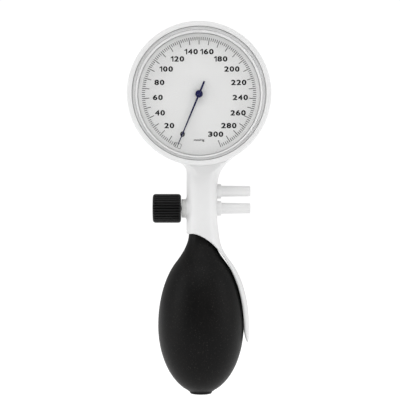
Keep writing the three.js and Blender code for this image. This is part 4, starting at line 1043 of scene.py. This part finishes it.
SLOT_MATERIALS = {
    "white_abs": WHITE,
    "grey_plastic": GREY,
    "dial_print": DIAL_PAINT,
    "clear_lens": LENS_CLEAR,
    "navy_pointer": NAVY,
    "black_rubber": RUBBER,
    "black_plastic": BLACK,
    "brass": BRASS,
    "bronze": BRONZE,
    "steel": STEEL,
    "seal_rubber": SEAL,
    "silicone": SILICONE,
}
for subpart in frame["record"]["subparts"]:
    node = bpy.data.objects.get(subpart["node"])
    if node is not None and not node.hide_render:
        node.data.materials.clear()
        node.data.materials.append(SLOT_MATERIALS[subpart["material_slot"]])


# ---- Floor, light and camera ----

CAMERA_X, CAMERA_Z = 0.5, 67.2
CAMERA_DISTANCE = 630.0
FLOOR_DROP = 70.0
# The light tent's brightness by how far a direction points behind the object, from -1 at the camera.
TENT = [(-1, 0.12), (-0.9, 0.18), (-0.65, 0.72), (-0.35, 1.45), (0.0, 0.8), (0.35, 0.62)]


def make_floor():
    size = 6.0
    mesh = bpy.data.meshes.new("floor")
    corners = [(-size, -size, 0), (size, -size, 0), (size, size, 0), (-size, size, 0)]
    mesh.from_pydata(corners, [], [[0, 1, 2, 3]])
    floor = bpy.data.objects.new("floor", mesh)
    floor.location.z = (BULB_END - FLOOR_DROP) * MM
    bpy.context.scene.collection.objects.link(floor)
    material, tree, shader = new_material("floor_white", Roughness=0.9)
    shader.inputs["Base Color"].default_value = (0.9, 0.9, 0.9, 1)
    shader.inputs["Emission Color"].default_value = (1, 1, 1, 1)
    shader.inputs["Emission Strength"].default_value = 0.38
    mesh.materials.append(material)


def soft_light(name, place_m, size, power):
    lamp = bpy.data.lights.new(name, "AREA")
    lamp.shape = "RECTANGLE"
    lamp.size, lamp.size_y = size
    lamp.energy = power
    holder = bpy.data.objects.new(name, lamp)
    holder.location = place_m
    aim = Vector((0, 0, 0.07)) - Vector(place_m)
    holder.rotation_euler = aim.to_track_quat("-Z", "Y").to_euler()
    bpy.context.scene.collection.objects.link(holder)


def make_world():
    """A white surround seen behind the object, and as its light a tent that is dim around the camera."""
    world = bpy.data.worlds.new("studio")
    world.use_nodes = True
    tree = world.node_tree
    direction = tree.nodes.new("ShaderNodeTexCoord")
    parts = tree.nodes.new("ShaderNodeSeparateXYZ")
    tree.links.new(direction.outputs["Generated"], parts.inputs["Vector"])
    shade = tree.nodes.new("ShaderNodeMapRange")
    shade.inputs["From Min"].default_value = -1
    shade.inputs["From Max"].default_value = 1
    tree.links.new(parts.outputs["Y"], shade.inputs["Value"])
    tent = ramp(tree, shade.outputs["Result"], [((y + 1) / 2, (level,) * 3) for y, level in TENT])
    light = tree.nodes["Background"]
    tree.links.new(tent, light.inputs["Color"])
    seen = tree.nodes.new("ShaderNodeBackground")
    seen.inputs["Color"].default_value = (1, 1, 1, 1)
    seen.inputs["Strength"].default_value = 1.05
    path = tree.nodes.new("ShaderNodeLightPath")
    mix = tree.nodes.new("ShaderNodeMixShader")
    tree.links.new(path.outputs["Is Camera Ray"], mix.inputs["Fac"])
    tree.links.new(light.outputs["Background"], mix.inputs[1])
    tree.links.new(seen.outputs["Background"], mix.inputs[2])
    tree.links.new(mix.outputs["Shader"], tree.nodes["World Output"].inputs["Surface"])
    bpy.context.scene.world = world


def make_camera():
    camera = bpy.data.cameras.new("camera")
    camera.lens = 105.5
    camera.sensor_width = 36
    camera.clip_start = 0.01
    holder = bpy.data.objects.new("camera", camera)
    holder.location = (CAMERA_X * MM, -CAMERA_DISTANCE * MM, CAMERA_Z * MM)
    holder.rotation_euler = (math.pi / 2, 0, 0)
    bpy.context.scene.collection.objects.link(holder)
    bpy.context.scene.camera = holder


make_floor()
make_world()
soft_light("left_box", (-0.9, -0.34, 0.12), (0.3, 1.2), 2.2)
soft_light("right_box", (0.9, -0.34, 0.12), (0.22, 1.2), 1.8)
soft_light("top_box", (0.0, -0.75, 0.95), (0.9, 0.4), 2.6)
make_camera()
bpy.context.scene.view_settings.view_transform = "Standard"
